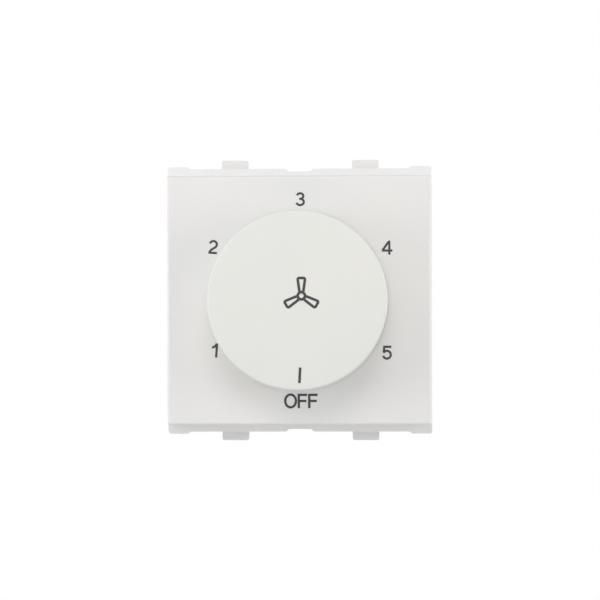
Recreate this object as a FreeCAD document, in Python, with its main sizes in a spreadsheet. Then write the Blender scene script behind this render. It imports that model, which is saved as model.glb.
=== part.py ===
import FreeCAD, Part
import math
import os

import Sketcher

# Fan speed control switch: a rotary step regulator that snaps in a two-module grid.
# Frame: +X to the viewer's right, +Z up, the front faces -Y. The origin is on the
# knob's axis, in the plane where the rim seats on the mounting grid.
# A depth is measured forward from that plane, so what lies behind it is negative.

Vector = FreeCAD.Vector

DRIVING_SIZES = {
    # front plate
    "plate_width": 45.0,
    "plate_wall": 1.5,
    "plate_head_gap": 0.6,
    "plate_edge_round": 0.5,
    "plate_corner_round": 0.35,
    "plate_bush_clearance": 0.3,
    # snap legs of the plate
    "leg_width": 4.6,
    "leg_thickness": 1.2,
    "leg_share": 0.4032,
    "leg_reach": 5.4,
    "leg_clearance": 0.3,
    "barb_rise": 0.7,
    "barb_start": 2.7,
    "barb_flat": 0.5,
    "window_clearance": 0.3,
    # rim of the case
    "rim_height": 45.1,
    "rim_thickness": 1.6,
    "rim_side_lip": 0.15,
    "rim_end_lip": 1.35,
    "rim_corner_round": 0.45,
    "rim_pad_width": 3.4,
    "rim_pad_rise": 0.35,
    "rim_pad_slope": 0.5,
    "rim_notch_width": 3.8,
    "rim_notch_depth": 0.45,
    "rim_notch_slope": 0.45,
    # case behind the grid
    "case_side_step": 0.4,
    "case_end_step": 2.35,
    "case_depth": 28.0,
    "case_wall": 1.6,
    "case_edge_round": 0.8,
    "case_back_round": 0.5,
    "field_margin": 3.0,
    "field_depth": 0.4,
    "field_corner_round": 1.2,
    # snap arms of the case
    "arm_width": 4.6,
    "arm_column_gap": 0.3,
    "arm_slit": 0.8,
    "arm_length": 11.0,
    "arm_front": 0.9,
    "hook_rise": 1.7,
    "grid_thickness": 2.0,
    "hook_flat": 1.2,
    "hook_ramp": 5.0,
    "hook_corner_round": 0.35,
    # corner columns of the case and their screws
    "column_share": 0.3118,
    "screw_radius": 1.1,
    "screw_length": 8.0,
    "screw_head_radius": 2.1,
    "screw_head_height": 1.3,
    "screw_slot_width": 0.6,
    "screw_slot_depth": 0.6,
    "pilot_clearance": 0.05,
    "screw_hole_clearance": 0.3,
    # switch carrier
    "deck_thickness": 2.0,
    "deck_clearance": 0.3,
    "bush_radius": 5.5,
    "bush_drop": 0.4,
    "cup_headroom": 4.8,
    "cup_wall": 1.7,
    "cup_rear": 8.0,
    "post_radius": 2.4,
    "post_clearance": 0.7,
    "post_overlap": 0.5,
    "pilot_depth_spare": 0.2,
    "stop_rib_height": 1.0,
    "stop_rib_angle": 43.0,
    # rotor
    "positions": 6,
    "shaft_radius": 3.0,
    "shaft_flat": 1.5,
    "shaft_end_gap": 0.5,
    "journal_radius": 4.0,
    "running_clearance": 0.06,
    "star_share": 0.6667,
    "star_front": 0.8,
    "star_rear": 3.4,
    "valley_radius": 3.2,
    "valley_drop": 1.2,
    "disc_gap": 1.4,
    "disc_rear": 5.2,
    "tail_ring_gap": 0.9,
    "tail_rear": 9.2,
    "lug_share": 0.2319,
    "lug_gap": 0.4,
    # detent spring
    "leaf_thickness": 0.35,
    "leaf_width": 2.2,
    "leaf_crest_gap": 0.97,
    "leaf_share": 0.7971,
    "nose_gap": 0.15,
    "nose_half_width": 3.4,
    "nose_bend": 1.2,
    "leaf_slot_clearance": 0.1,
    "leaf_slot_angle": 55.0,
    # wiper contact
    "wiper_thickness": 0.3,
    "wiper_width": 4.6,
    "wiper_inner_share": 0.5905,
    "wiper_outer_share": 0.8,
    "wiper_gap": 0.05,
    "wiper_bend": 0.3,
    "wiper_tip_lift": 0.5,
    "wiper_tip_length": 1.0,
    "pip_radius": 0.6,
    "pip_spacing": 2.4,
    "pip_height": 0.7,
    # contacts
    "track_share": 0.7609,
    "stud_radius": 1.6,
    "stud_height": 0.6,
    "stud_shank_radius": 0.8,
    "stud_tail_radius": 1.3,
    "stud_tail_height": 0.5,
    "ring_share": 0.3261,
    "ring_width": 2.2,
    "ring_pin_radius": 0.5,
    "ring_pin_length": 2.0,
    # circuit board
    "board_clearance": 0.4,
    "board_thickness": 1.6,
    "board_hole_clearance": 0.1,
    "tail_clearance": 0.2,
    "board_notch_clearance": 0.4,
    # knob
    "knob_radius": 15.1,
    "knob_taper": 0.15,
    "knob_height": 7.6,
    "knob_gap": 0.4,
    "knob_wall": 1.5,
    "knob_edge_round": 0.8,
    "hub_radius": 5.0,
    "hub_gap": 0.1,
    "hub_clearance": 0.05,
    "bore_end_gap": 0.2,
    "knob_ribs": 6,
    "knob_rib_width": 1.0,
    "knob_rib_height": 3.0,
    "clip_thickness": 0.35,
    "clip_width": 3.4,
    "clip_length": 4.8,
    "clip_seat": 0.55,
    "clip_setback": 0.6,
    "clip_play": 0.02,
    "clip_bow_bend": 6.0,
    # capacitors
    "capacitor_length_share": 0.6341,
    "capacitor_back_gap": 1.4,
    "capacitor_standoff": 1.2,
    "capacitor_round": 0.6,
    "large_capacitor_share": 0.2823,
    "large_capacitor_gap": 0.5,
    "small_capacitor_share": 0.2151,
    "small_capacitor_gap": 1.0,
    "capacitor_lead_inset": 1.75,
    "foot_size": 1.4,
    "lead_radius": 0.4,
    "lead_recess": 0.1,
    # resistors
    "series_radius": 2.2,
    "series_length_share": 0.2195,
    "series_pitch_share": 0.2927,
    "series_place_share": 0.1756,
    "series_wall_gap": 0.6,
    "bleed_radius": 1.25,
    "bleed_length_share": 0.1561,
    "bleed_pitch_share": 0.2341,
    "bleed_wall_gap": 1.75,
    "bleed_spacing_share": 0.0968,
    "resistor_standoff": 1.5,
    "resistor_waist": 0.25,
    "resistor_cap_share": 0.2,
    "resistor_round_share": 0.25,
    "lead_bend": 0.8,
    # terminals
    "terminal_width": 7.0,
    "terminal_tall_share": 0.2151,
    "terminal_floor_gap": 0.4,
    "terminal_long": 7.0,
    "terminal_chamfer": 0.3,
    "terminal_leg_width": 2.4,
    "terminal_leg_thickness": 0.8,
    "wire_bore_radius": 2.0,
    "wire_entry_radius": 2.6,
    "wire_entry_chamfer": 0.6,
    "chamber_wall": 1.0,
    "chamber_column_gap": 1.05,
    "chamber_clearance": 0.15,
    "clamp_screw_radius": 1.5,
    "clamp_screw_clearance": 0.06,
    "clamp_screw_travel": 2.2,
    "clamp_head_radius": 2.3,
    "clamp_head_height": 1.6,
    "clamp_head_gap": 0.1,
    "clamp_head_recess": 0.1,
    "clamp_tip_gap": 0.1,
    "clamp_slot_width": 0.7,
    "clamp_slot_depth": 0.8,
    "driver_clearance": 0.35,
    "driver_chamfer": 0.5,
}


class Size:
    """A number together with the spreadsheet formula that gives it."""

    def __init__(self, value, formula):
        self.value = value
        self.formula = formula

    def __add__(self, other):
        other = as_size(other)
        return Size(self.value + other.value, f"({self.formula} + {other.formula})")

    def __radd__(self, other):
        return as_size(other) + self

    def __sub__(self, other):
        other = as_size(other)
        return Size(self.value - other.value, f"({self.formula} - {other.formula})")

    def __rsub__(self, other):
        return as_size(other) - self

    def __mul__(self, other):
        other = as_size(other)
        return Size(self.value * other.value, f"({self.formula} * {other.formula})")

    def __rmul__(self, other):
        return as_size(other) * self

    def __truediv__(self, other):
        other = as_size(other)
        return Size(self.value / other.value, f"({self.formula} / {other.formula})")

    def __rtruediv__(self, other):
        return as_size(other) / self

    def __neg__(self):
        return as_size(-1) * self


def as_size(number):
    """A plain number as a Size, so that both can stand in one formula."""
    if isinstance(number, Size):
        return number
    return Size(float(number), f"({float(number)!r})")


def smallest(first, second):
    return Size(min(first.value, second.value), f"min({first.formula}; {second.formula})")


def cosine(angle):
    angle = as_size(angle)
    return Size(math.cos(math.radians(angle.value)), f"cos({angle.formula})")


def sine(angle):
    angle = as_size(angle)
    return Size(math.sin(math.radians(angle.value)), f"sin({angle.formula})")


class SheetOfSizes:
    """Every size of the switch as a named cell: driving numbers, then what they give."""

    def __init__(self, sheet, driving):
        vars(self)["sheet"] = sheet
        for name, value in driving.items():
            self.write(name, value, str(value))

    def write(self, name, value, content):
        row = len(vars(self))
        self.sheet.set(f"A{row}", name)
        self.sheet.set(f"B{row}", content)
        self.sheet.setAlias(f"B{row}", name)
        vars(self)[name] = Size(value, f"dims.{name}")

    def __setattr__(self, name, size):
        """Writes a size that is worked out from others."""
        self.write(name, size.value, "=" + size.formula.replace("dims.", ""))


doc = FreeCAD.newDocument("fan_speed_switch")
D = SheetOfSizes(doc.addObject("Spreadsheet::Sheet", "dims"), DRIVING_SIZES)
subparts = []


# Places that more than one piece takes its size from

LEFT_RIGHT = (-1, 1)
CORNERS = [(side, level) for side in LEFT_RIGHT for level in LEFT_RIGHT]
SPEEDS = range(1, DRIVING_SIZES["positions"])
OFF_ANGLE = -90.0
TOLERANCE = 0.001

D.step_angle = 360 / D.positions

# the case and its mouth, from the plate's width and the rim's height
D.rim_width = D.plate_width + 2 * D.rim_side_lip
D.plate_height = D.rim_height - 2 * D.rim_end_lip
D.case_width = D.plate_width - 2 * D.case_side_step
D.case_height = D.rim_height - 2 * D.case_end_step
D.hook_reach = D.rim_height / 2 + D.hook_rise
D.mouth_width = D.case_width - 2 * D.case_wall
D.mouth_height = D.case_height - 2 * D.case_wall
D.column_size = D.column_share * smallest(D.mouth_width, D.mouth_height) / 2
D.column_x = D.mouth_width / 2 - D.column_size / 2
D.column_z = D.mouth_height / 2 - D.column_size / 2
D.column_side = D.mouth_width / 2 - D.column_size
D.arm_x = D.column_side - D.arm_column_gap - D.arm_slit - D.arm_width / 2
D.leg_x = D.mouth_width / 2 - D.leg_clearance - D.leg_thickness / 2
D.leg_height = D.leg_share * D.mouth_height / 2

# the row of depths through plate, carrier, board and case
D.deck_rear = D.deck_thickness - D.rim_thickness
D.plate_front = D.rim_thickness + D.screw_head_height + D.plate_head_gap + D.plate_wall
D.knob_front = D.plate_front + D.knob_gap + D.knob_height
D.shaft_front = D.knob_front - D.knob_wall - D.shaft_end_gap
D.back_wall_inner = D.case_depth - D.case_wall
D.board_rear = D.cup_rear + D.board_thickness
D.capacitor_front = D.board_rear + D.capacitor_standoff
D.capacitor_height = D.back_wall_inner - D.capacitor_back_gap - D.capacitor_front

# the detent cup, as large as the posts beside it and the walls above and below allow
D.post_offset = D.mouth_width / 2 - D.post_clearance - D.post_radius
D.cup_radius = smallest(
    D.post_offset - D.post_radius + D.post_overlap - D.cup_wall,
    D.mouth_height / 2 - D.cup_headroom,
)
D.star_radius = D.star_share * D.cup_radius
D.valley_centre = D.star_radius + D.valley_radius - D.valley_drop
D.disc_radius = D.cup_radius - D.disc_gap
D.lug_reach = D.cup_radius - D.lug_gap
D.lug_width = D.lug_share * D.cup_radius
D.leaf_height = D.star_radius + D.leaf_crest_gap
D.leaf_reach = D.leaf_share * D.cup_radius
D.star_nose_height = D.star_radius - D.valley_drop + D.nose_gap

# the contacts' tracks on the board
D.track_radius = D.track_share * D.cup_radius
D.ring_middle = D.ring_share * D.cup_radius
D.ring_inner = D.ring_middle - D.ring_width / 2
D.tail_radius = D.ring_inner - D.tail_ring_gap
D.wiper_base_inner = D.wiper_inner_share * D.track_radius
D.wiper_base_outer = D.wiper_outer_share * D.track_radius
D.wiper_base_middle = (D.wiper_base_inner + D.wiper_base_outer) / 2
D.contact_plane = D.cup_rear - D.stud_height
D.wiper_plane = D.contact_plane - D.wiper_gap

# the rows of parts on the board, from the top wall down
D.series_height = D.mouth_height / 2 - D.series_wall_gap - D.series_radius
D.large_width = D.large_capacitor_share * D.mouth_height
D.large_place = D.series_height - D.series_radius - D.large_capacitor_gap - D.large_width / 2
D.small_width = D.small_capacitor_share * D.mouth_height
D.small_place = D.large_place - D.large_width / 2 - D.small_capacitor_gap - D.small_width / 2
D.capacitor_length = D.capacitor_length_share * D.mouth_width
D.lead_place = D.capacitor_length / 2 - D.capacitor_lead_inset
D.bleed_height = D.bleed_wall_gap + D.bleed_radius - D.mouth_height / 2
D.bleed_spacing = D.bleed_spacing_share * D.mouth_height

# the terminals, beside the columns on the floor of the case
D.chamber_margin = D.chamber_wall + D.chamber_clearance
D.terminal_place = D.column_side - D.chamber_column_gap - D.chamber_margin - D.terminal_width / 2
D.terminal_tall = D.terminal_tall_share * D.mouth_height
D.terminal_height = D.terminal_floor_gap + D.terminal_tall / 2 - D.mouth_height / 2
D.clamp_head_rest = D.case_depth - D.clamp_head_recess - D.clamp_head_height
D.terminal_back = D.clamp_head_rest - D.clamp_head_gap - D.clamp_screw_travel
D.terminal_front = D.terminal_back - D.terminal_long
D.terminal_depth = (D.terminal_front + D.terminal_back) / 2
D.clamp_tip_rest = D.terminal_depth + D.wire_bore_radius + D.clamp_tip_gap


def bind(thing, path, size):
    """Ties one property of a document object to the sheet."""
    thing.setExpression(path, as_size(size).formula)


def origin_feature(body, role):
    return next(item for item in body.Origin.OriginFeatures if item.Role == role)


class Piece:
    """One body, made feature by feature from sketches on its own origin planes."""

    def __init__(self, name):
        self.body = doc.addObject("PartDesign::Body", name)
        self.body.Label = name
        self.count = 0

    def finish(self, place=None):
        """Puts the piece in its place and adds it to the sub-parts."""
        if place:
            for letter, size in zip("xyz", place):
                bind(self.body, f"Placement.Base.{letter}", size)
        doc.recompute()
        subparts.append(self.body)

    def named(self, kind):
        self.count += 1
        return f"{self.body.Name}_{kind}_{self.count}"

    def sketch(self, role, across=0, up=0, offset=0):
        """An empty sketch on an origin plane, moved within it and along its normal."""
        item = self.body.newObject("Sketcher::SketchObject", self.named("sketch"))
        item.AttachmentSupport = [(origin_feature(self.body, role), "")]
        item.MapMode = "FlatFace"
        for letter, size in zip("xyz", (across, up, offset)):
            bind(item, f"AttachmentOffset.Base.{letter}", size)
        return item

    def front(self, x=0, z=0, depth=0):
        """A sketch seen from the front, at a depth in front of the seat plane."""
        return self.sketch("XZ_Plane", x, z, depth)

    def side(self, x=0, y=0, z=0):
        """A sketch seen from the right side: across is +Y and up is +Z."""
        return self.sketch("YZ_Plane", y, z, x)

    def plan(self, x=0, y=0, z=0):
        """A sketch seen from above: across is +X and up is +Y."""
        return self.sketch("XY_Plane", x, y, z)

    def pad(self, sketch, length, backwards=False, symmetric=False):
        pad = self.body.newObject("PartDesign::Pad", self.named("pad"))
        pad.Profile = sketch
        pad.Reversed = backwards
        if symmetric:
            pad.SideType = "Symmetric"
        bind(pad, "Length", length)
        doc.recompute()
        return pad

    def cut(self, sketch, length, forwards=False, symmetric=False):
        """A pocket, which has to take something away."""
        before = self.body.Shape.Volume
        pocket = self.body.newObject("PartDesign::Pocket", self.named("pocket"))
        pocket.Profile = sketch
        pocket.Reversed = forwards
        if symmetric:
            pocket.SideType = "Symmetric"
        bind(pocket, "Length", length)
        doc.recompute()
        if self.body.Shape.Volume >= before:
            raise RuntimeError(f"{pocket.Name} cuts nothing")
        return pocket

    def turn(self, sketch, axis="Y_Axis", angle=None):
        """A revolution about an origin axis, whole or centred on its sketch."""
        turned = self.body.newObject("PartDesign::Revolution", self.named("revolution"))
        turned.Profile = sketch
        turned.ReferenceAxis = (origin_feature(self.body, axis), [""])
        if angle is not None:
            turned.Midplane = True
            bind(turned, "Angle", angle)
        doc.recompute()
        return turned

    def around(self, feature, count, axis="Y_Axis"):
        """Copies of a feature, evenly round an origin axis."""
        pattern = self.body.newObject("PartDesign::PolarPattern", self.named("pattern"))
        pattern.Originals = [feature]
        pattern.Axis = (origin_feature(self.body, axis), [""])
        pattern.Angle = 360
        bind(pattern, "Occurrences", count)
        self.body.Tip = pattern
        doc.recompute()
        return pattern

    def round_edges(self, radius, test, chamfer=False):
        """A fillet or chamfer on the edges of the present shape that pass a test."""
        edges = enumerate(self.body.Shape.Edges, start=1)
        names = [f"Edge{i}" for i, edge in edges if test(edge)]
        if not names:
            raise RuntimeError(f"{self.body.Name} has no edge to round")
        kind = "Chamfer" if chamfer else "Fillet"
        base = self.body.Tip
        feature = self.body.newObject(f"PartDesign::{kind}", self.named(kind.lower()))
        feature.Base = (base, names)
        bind(feature, "Size" if chamfer else "Radius", radius)
        self.body.Tip = feature
        doc.recompute()
        return feature


# Sketch outlines


def rectangle(sketch, width, height, at=(0, 0)):
    """A rectangle centred on a point of the sketch."""
    left, right = at[0] - as_size(width) / 2, at[0] + as_size(width) / 2
    low, high = at[1] - as_size(height) / 2, at[1] + as_size(height) / 2
    return polygon(sketch, [(left, low), (right, low), (right, high), (left, high)])


def polygon(sketch, points):
    """A closed outline of straight lines through points given as pairs of sizes."""
    points = [(as_size(u), as_size(v)) for u, v in points]
    first = sketch.GeometryCount
    count = len(points)
    for i, (u, v) in enumerate(points):
        next_u, next_v = points[(i + 1) % count]
        start = Vector(u.value, v.value, 0)
        end = Vector(next_u.value, next_v.value, 0)
        sketch.addGeometry(Part.LineSegment(start, end), False)
    for i, (u, v) in enumerate(points):
        line, following = first + i, first + (i + 1) % count
        sketch.addConstraint(Sketcher.Constraint("Coincident", line, 2, following, 1))
        across = sketch.addConstraint(Sketcher.Constraint("DistanceX", -1, 1, line, 1, u.value))
        up = sketch.addConstraint(Sketcher.Constraint("DistanceY", -1, 1, line, 1, v.value))
        bind(sketch, f"Constraints[{across}]", u)
        bind(sketch, f"Constraints[{up}]", v)
    return sketch


def circle(sketch, radius, at=(0, 0)):
    """A circle about a point of the sketch."""
    radius, u, v = as_size(radius), as_size(at[0]), as_size(at[1])
    centre = Vector(u.value, v.value, 0)
    index = sketch.addGeometry(Part.Circle(centre, Vector(0, 0, 1), radius.value), False)
    measures = [(("Radius", index), radius)]
    measures += [(("DistanceX", -1, 1, index, 3), u), (("DistanceY", -1, 1, index, 3), v)]
    for rule, size in measures:
        number = sketch.addConstraint(Sketcher.Constraint(*rule, size.value))
        bind(sketch, f"Constraints[{number}]", size)
    return sketch


def d_outline(sketch, radius, flat):
    """A circle cut off by a level flat below its centre."""
    drop = math.asin(flat.value / radius.value)
    start, end = -drop, math.pi + drop
    round_part = Part.ArcOfCircle(
        Part.Circle(Vector(0, 0, 0), Vector(0, 0, 1), radius.value), start, end
    )
    arc = sketch.addGeometry(round_part, False)
    line = sketch.addGeometry(
        Part.LineSegment(round_part.EndPoint, round_part.StartPoint), False
    )
    sketch.addConstraint(Sketcher.Constraint("Coincident", arc, 3, -1, 1))
    sketch.addConstraint(Sketcher.Constraint("Coincident", arc, 2, line, 1))
    sketch.addConstraint(Sketcher.Constraint("Coincident", line, 2, arc, 1))
    sketch.addConstraint(Sketcher.Constraint("Horizontal", line))
    size = sketch.addConstraint(Sketcher.Constraint("Radius", arc, radius.value))
    level = sketch.addConstraint(Sketcher.Constraint("DistanceY", line, 1, -1, 1, flat.value))
    bind(sketch, f"Constraints[{size}]", radius)
    bind(sketch, f"Constraints[{level}]", flat)
    return sketch


def lead_path(sketch, half_pitch, drop, bend):
    """The middle line of a resistor's lead: up from one foot, across and down to the other."""
    a, b, r = half_pitch.value, drop.value, bend.value
    left = Part.Circle(Vector(r - a, -r, 0), Vector(0, 0, 1), r)
    right = Part.Circle(Vector(a - r, -r, 0), Vector(0, 0, 1), r)
    stretches = [
        Part.LineSegment(Vector(-a, -b, 0), Vector(-a, -r, 0)),
        Part.ArcOfCircle(left, math.pi / 2, math.pi),
        Part.LineSegment(Vector(r - a, 0, 0), Vector(a - r, 0, 0)),
        Part.ArcOfCircle(right, 0, math.pi / 2),
        Part.LineSegment(Vector(a, -r, 0), Vector(a, -b, 0)),
    ]
    for stretch in stretches:
        sketch.addGeometry(stretch, False)
    rules = [
        ("Tangent", 0, 2, 1, 2),
        ("Tangent", 1, 1, 2, 1),
        ("Tangent", 2, 2, 3, 2),
        ("Tangent", 3, 1, 4, 1),
        ("Vertical", 0),
        ("Horizontal", 2),
        ("PointOnObject", 2, 1, -1),
        ("Vertical", 4),
    ]
    for rule in rules:
        sketch.addConstraint(Sketcher.Constraint(*rule))
    measures = [
        (("Radius", 1), bend),
        (("Radius", 3), bend),
        (("DistanceX", -1, 1, 0, 1), -half_pitch),
        (("DistanceY", -1, 1, 0, 1), -drop),
        (("DistanceX", -1, 1, 4, 2), half_pitch),
        (("DistanceY", -1, 1, 4, 2), -drop),
    ]
    for rule, size in measures:
        index = sketch.addConstraint(Sketcher.Constraint(*rule, size.value))
        bind(sketch, f"Constraints[{index}]", size)
    return sketch


# Tests that pick edges


def along(edge, axis):
    """True for a straight edge that runs along an axis."""
    if edge.Curve.TypeId != "Part::GeomLine":
        return False
    return abs(edge.tangentAt(edge.FirstParameter).dot(axis)) > 1 - TOLERANCE


def lies_at(edge, letter, value):
    """True for an edge whose every point has that coordinate."""
    box = edge.BoundBox
    low = getattr(box, letter.upper() + "Min")
    high = getattr(box, letter.upper() + "Max")
    return abs(low - value) < TOLERANCE and abs(high - value) < TOLERANCE


def is_circle(edge, radius):
    if edge.Curve.TypeId != "Part::GeomCircle":
        return False
    return abs(edge.Curve.Radius - radius) < TOLERANCE


def corner_at(edge, letter, reach):
    """True for an edge along Y whose coordinate is at either plus or minus the reach."""
    if not along(edge, Vector(0, 1, 0)):
        return False
    middle = edge.valueAt((edge.FirstParameter + edge.LastParameter) / 2)
    return abs(abs(getattr(middle, letter)) - reach) < TOLERANCE


# The white mouldings that show


def make_front_plate():
    """A shallow tray turned forwards, with a hole for the bush and four snap legs."""
    piece = Piece("front_plate")
    rear = D.rim_thickness
    outer = rectangle(piece.front(depth=rear), D.plate_width, D.plate_height)
    piece.pad(outer, D.plate_front - rear)
    piece.round_edges(D.plate_corner_round, lambda edge: along(edge, Vector(0, 1, 0)))
    front_y = -D.plate_front.value
    piece.round_edges(D.plate_edge_round, lambda edge: lies_at(edge, "y", front_y))
    inside = rectangle(
        piece.front(depth=rear),
        D.plate_width - 2 * D.plate_wall,
        D.plate_height - 2 * D.plate_wall,
    )
    piece.cut(inside, D.plate_front - D.plate_wall - rear, forwards=True)
    hole = circle(piece.front(depth=D.plate_front), D.bush_radius + D.plate_bush_clearance)
    piece.cut(hole, D.plate_wall)
    legs = piece.front(depth=-D.leg_reach)
    for side, level in CORNERS:
        rectangle(legs, D.leg_thickness, D.leg_width, (side * D.leg_x, level * D.leg_height))
    piece.pad(legs, D.leg_reach + D.plate_front - D.plate_wall / 2)
    for level in LEFT_RIGHT:
        barbs = piece.plan(z=level * D.leg_height)
        for side in LEFT_RIGHT:
            root = side * (D.leg_x + D.leg_thickness / 2)
            tip = root + side * D.barb_rise
            inner = root - side * D.leg_thickness / 2
            outline = [
                (inner, D.barb_start),
                (tip, D.barb_start),
                (tip, D.barb_start + D.barb_flat),
                (root, D.leg_reach),
                (inner, D.leg_reach),
            ]
            polygon(barbs, outline)
        piece.pad(barbs, D.leg_width, symmetric=True)
    piece.finish()


def rim_outline():
    """The rim seen from the front: corner pads and a sloping notch, above and below."""
    half_width = D.rim_width / 2
    level = D.rim_height / 2
    pad = half_width - D.rim_pad_width
    notch = D.rim_notch_width / 2
    right = [
        (notch, level - D.rim_notch_depth),
        (notch + D.rim_notch_slope, level),
        (pad - D.rim_pad_slope, level),
        (pad, level + D.rim_pad_rise),
        (half_width, level + D.rim_pad_rise),
    ]
    top = [(-x, z) for x, z in reversed(right)] + right
    bottom = [(x, -z) for x, z in reversed(top)]
    return top + bottom


def make_housing():
    """The case: an open box behind a rim, with snap arms, columns and terminal chambers."""
    piece = Piece("housing")
    box = rectangle(piece.front(depth=-D.case_depth), D.case_width, D.case_height)
    piece.pad(box, D.case_depth)
    piece.round_edges(D.case_edge_round, lambda edge: along(edge, Vector(0, 1, 0)))
    back_y = D.case_depth.value
    piece.round_edges(D.case_back_round, lambda edge: lies_at(edge, "y", back_y))
    piece.pad(polygon(piece.front(), rim_outline()), D.rim_thickness)
    rim_x = D.rim_width.value / 2
    piece.round_edges(D.rim_corner_round, lambda edge: corner_at(edge, "x", rim_x))
    cavity = rectangle(piece.front(depth=D.rim_thickness), D.mouth_width, D.mouth_height)
    piece.cut(cavity, D.rim_thickness + D.back_wall_inner)
    add_columns(piece)
    add_chambers(piece)
    add_back_field(piece)
    add_plate_windows(piece)
    add_snap_arms(piece)
    piece.finish()


def add_columns(piece):
    """Four corner columns, from the back wall to the carrier's deck, with pilot holes."""
    overlap = D.case_wall / 2
    size = D.column_size + overlap
    columns = piece.front(depth=-D.back_wall_inner - overlap)
    pilots = piece.front(depth=-D.deck_rear)
    for side, level in CORNERS:
        centre = (side * (D.column_x + overlap / 2), level * (D.column_z + overlap / 2))
        rectangle(columns, size, size, centre)
        pilot_radius = D.screw_radius + D.pilot_clearance
        circle(pilots, pilot_radius, (side * D.column_x, level * D.column_z))
    piece.pad(columns, D.back_wall_inner + overlap - D.deck_rear)
    piece.cut(pilots, D.screw_length)


def add_chambers(piece):
    """A walled chamber for each terminal, with its wire entry and screwdriver hole."""
    floor = -D.mouth_height / 2
    overlap = D.case_wall / 2
    inner_width = D.terminal_width + 2 * D.chamber_clearance
    inner_top = D.terminal_height + D.terminal_tall / 2 + D.chamber_clearance
    outer_top = inner_top + D.chamber_wall
    outer_floor = floor - overlap
    outer = piece.front(depth=-D.back_wall_inner - overlap)
    inner = piece.front(depth=-D.terminal_front)
    entries = piece.plan(z=floor)
    holes = piece.front(depth=-D.back_wall_inner)
    for side in LEFT_RIGHT:
        x = side * D.terminal_place
        outer_centre = (x, (outer_top + outer_floor) / 2)
        rectangle(outer, inner_width + 2 * D.chamber_wall, outer_top - outer_floor, outer_centre)
        rectangle(inner, inner_width, inner_top - floor, (x, (inner_top + floor) / 2))
        circle(entries, D.wire_entry_radius, (x, D.terminal_depth))
        circle(holes, D.clamp_head_radius + D.driver_clearance, (x, D.terminal_height))
    piece.pad(outer, D.back_wall_inner + overlap - D.terminal_front)
    piece.cut(inner, D.back_wall_inner - D.terminal_front)
    piece.cut(entries, D.case_wall)
    piece.cut(holes, D.case_wall)
    outside = -D.case_height.value / 2
    entry_radius = D.wire_entry_radius.value
    piece.round_edges(
        D.wire_entry_chamfer,
        lambda edge: lies_at(edge, "z", outside) and is_circle(edge, entry_radius),
        chamfer=True,
    )
    back_y = D.case_depth.value
    hole_radius = (D.clamp_head_radius + D.driver_clearance).value
    piece.round_edges(
        D.driver_chamfer,
        lambda edge: lies_at(edge, "y", back_y) and is_circle(edge, hole_radius),
        chamfer=True,
    )


def add_back_field(piece):
    """A shallow sunk field in the back wall, above the screwdriver holes."""
    top = D.case_height / 2 - D.field_margin
    bottom = D.terminal_height + D.terminal_tall / 2 + D.field_margin
    half_width = D.case_width / 2 - D.field_margin
    field = rectangle(
        piece.front(depth=-D.case_depth), 2 * half_width, top - bottom, (0, (top + bottom) / 2)
    )
    piece.cut(field, D.field_depth, forwards=True)
    reach = half_width.value
    piece.round_edges(D.field_corner_round, lambda edge: corner_at(edge, "x", reach))


def add_plate_windows(piece):
    """Windows in both side walls, where the plate's barbs catch."""
    clear = D.window_clearance
    start = D.barb_start - clear
    length = D.leg_reach + clear - start
    windows = piece.side()
    for level in LEFT_RIGHT:
        centre = (start + length / 2, level * D.leg_height)
        rectangle(windows, length, D.leg_width + 2 * clear, centre)
    piece.cut(windows, D.case_width, symmetric=True)


def add_snap_arms(piece):
    """Two snap arms in the top wall and two in the bottom one, slit free at the front."""
    half = D.arm_width / 2
    slit = half + D.arm_slit
    slit_outline = [
        (-slit, 0),
        (slit, 0),
        (slit, D.arm_length),
        (half, D.arm_length),
        (half, D.arm_front),
        (-half, D.arm_front),
        (-half, D.arm_length),
        (-slit, D.arm_length),
    ]
    slits = piece.plan()
    for side in LEFT_RIGHT:
        polygon(slits, [(side * D.arm_x + x, y) for x, y in slit_outline])
    piece.cut(slits, D.case_height, symmetric=True)
    surface = D.case_height / 2
    shoulder = D.grid_thickness
    ramp_end = shoulder + D.hook_flat + D.hook_ramp
    for side in LEFT_RIGHT:
        hooks = piece.side(side * D.arm_x)
        for level in LEFT_RIGHT:
            root = level * (surface - D.case_wall / 2)
            tip = level * D.hook_reach
            outline = [
                (shoulder, root),
                (shoulder, tip),
                (shoulder + D.hook_flat, tip),
                (ramp_end, level * surface),
                (ramp_end, root),
            ]
            polygon(hooks, outline)
        piece.pad(hooks, D.arm_width, symmetric=True)
    reach = D.hook_reach.value
    piece.round_edges(D.hook_corner_round, lambda edge: corner_at(edge, "z", reach))


def make_knob():
    """A hollow cap with a hub, ribs and a D-shaped bore."""
    piece = Piece("knob")
    front, rear = -D.knob_front, -(D.plate_front + D.knob_gap)
    ceiling = front + D.knob_wall
    hub_rear = -(D.plate_front + D.hub_gap)
    front_radius = D.knob_radius - D.knob_taper
    profile = [
        (0, front),
        (front_radius, front),
        (D.knob_radius, rear),
        (D.knob_radius - D.knob_wall, rear),
        (front_radius - D.knob_wall, ceiling),
        (D.hub_radius, ceiling),
        (D.hub_radius, hub_rear),
        (0, hub_rear),
    ]
    piece.turn(polygon(piece.plan(), profile))
    front_y = front.value
    piece.round_edges(D.knob_edge_round, lambda edge: lies_at(edge, "y", front_y))
    rib_start = D.hub_radius - D.knob_wall / 2
    rib_end = front_radius - D.knob_wall / 2
    rib = rectangle(
        piece.front((rib_start + rib_end) / 2, 0, -ceiling - D.knob_rib_height),
        rib_end - rib_start,
        D.knob_rib_width,
    )
    piece.around(piece.pad(rib, D.knob_rib_height + D.knob_wall / 2), D.knob_ribs)
    bore = d_outline(
        piece.front(depth=-hub_rear),
        D.shaft_radius + D.hub_clearance,
        D.shaft_flat + D.clip_seat,
    )
    piece.cut(bore, D.shaft_front + D.bore_end_gap + hub_rear, forwards=True)
    piece.finish()


# The rotary switch behind the plate


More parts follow.
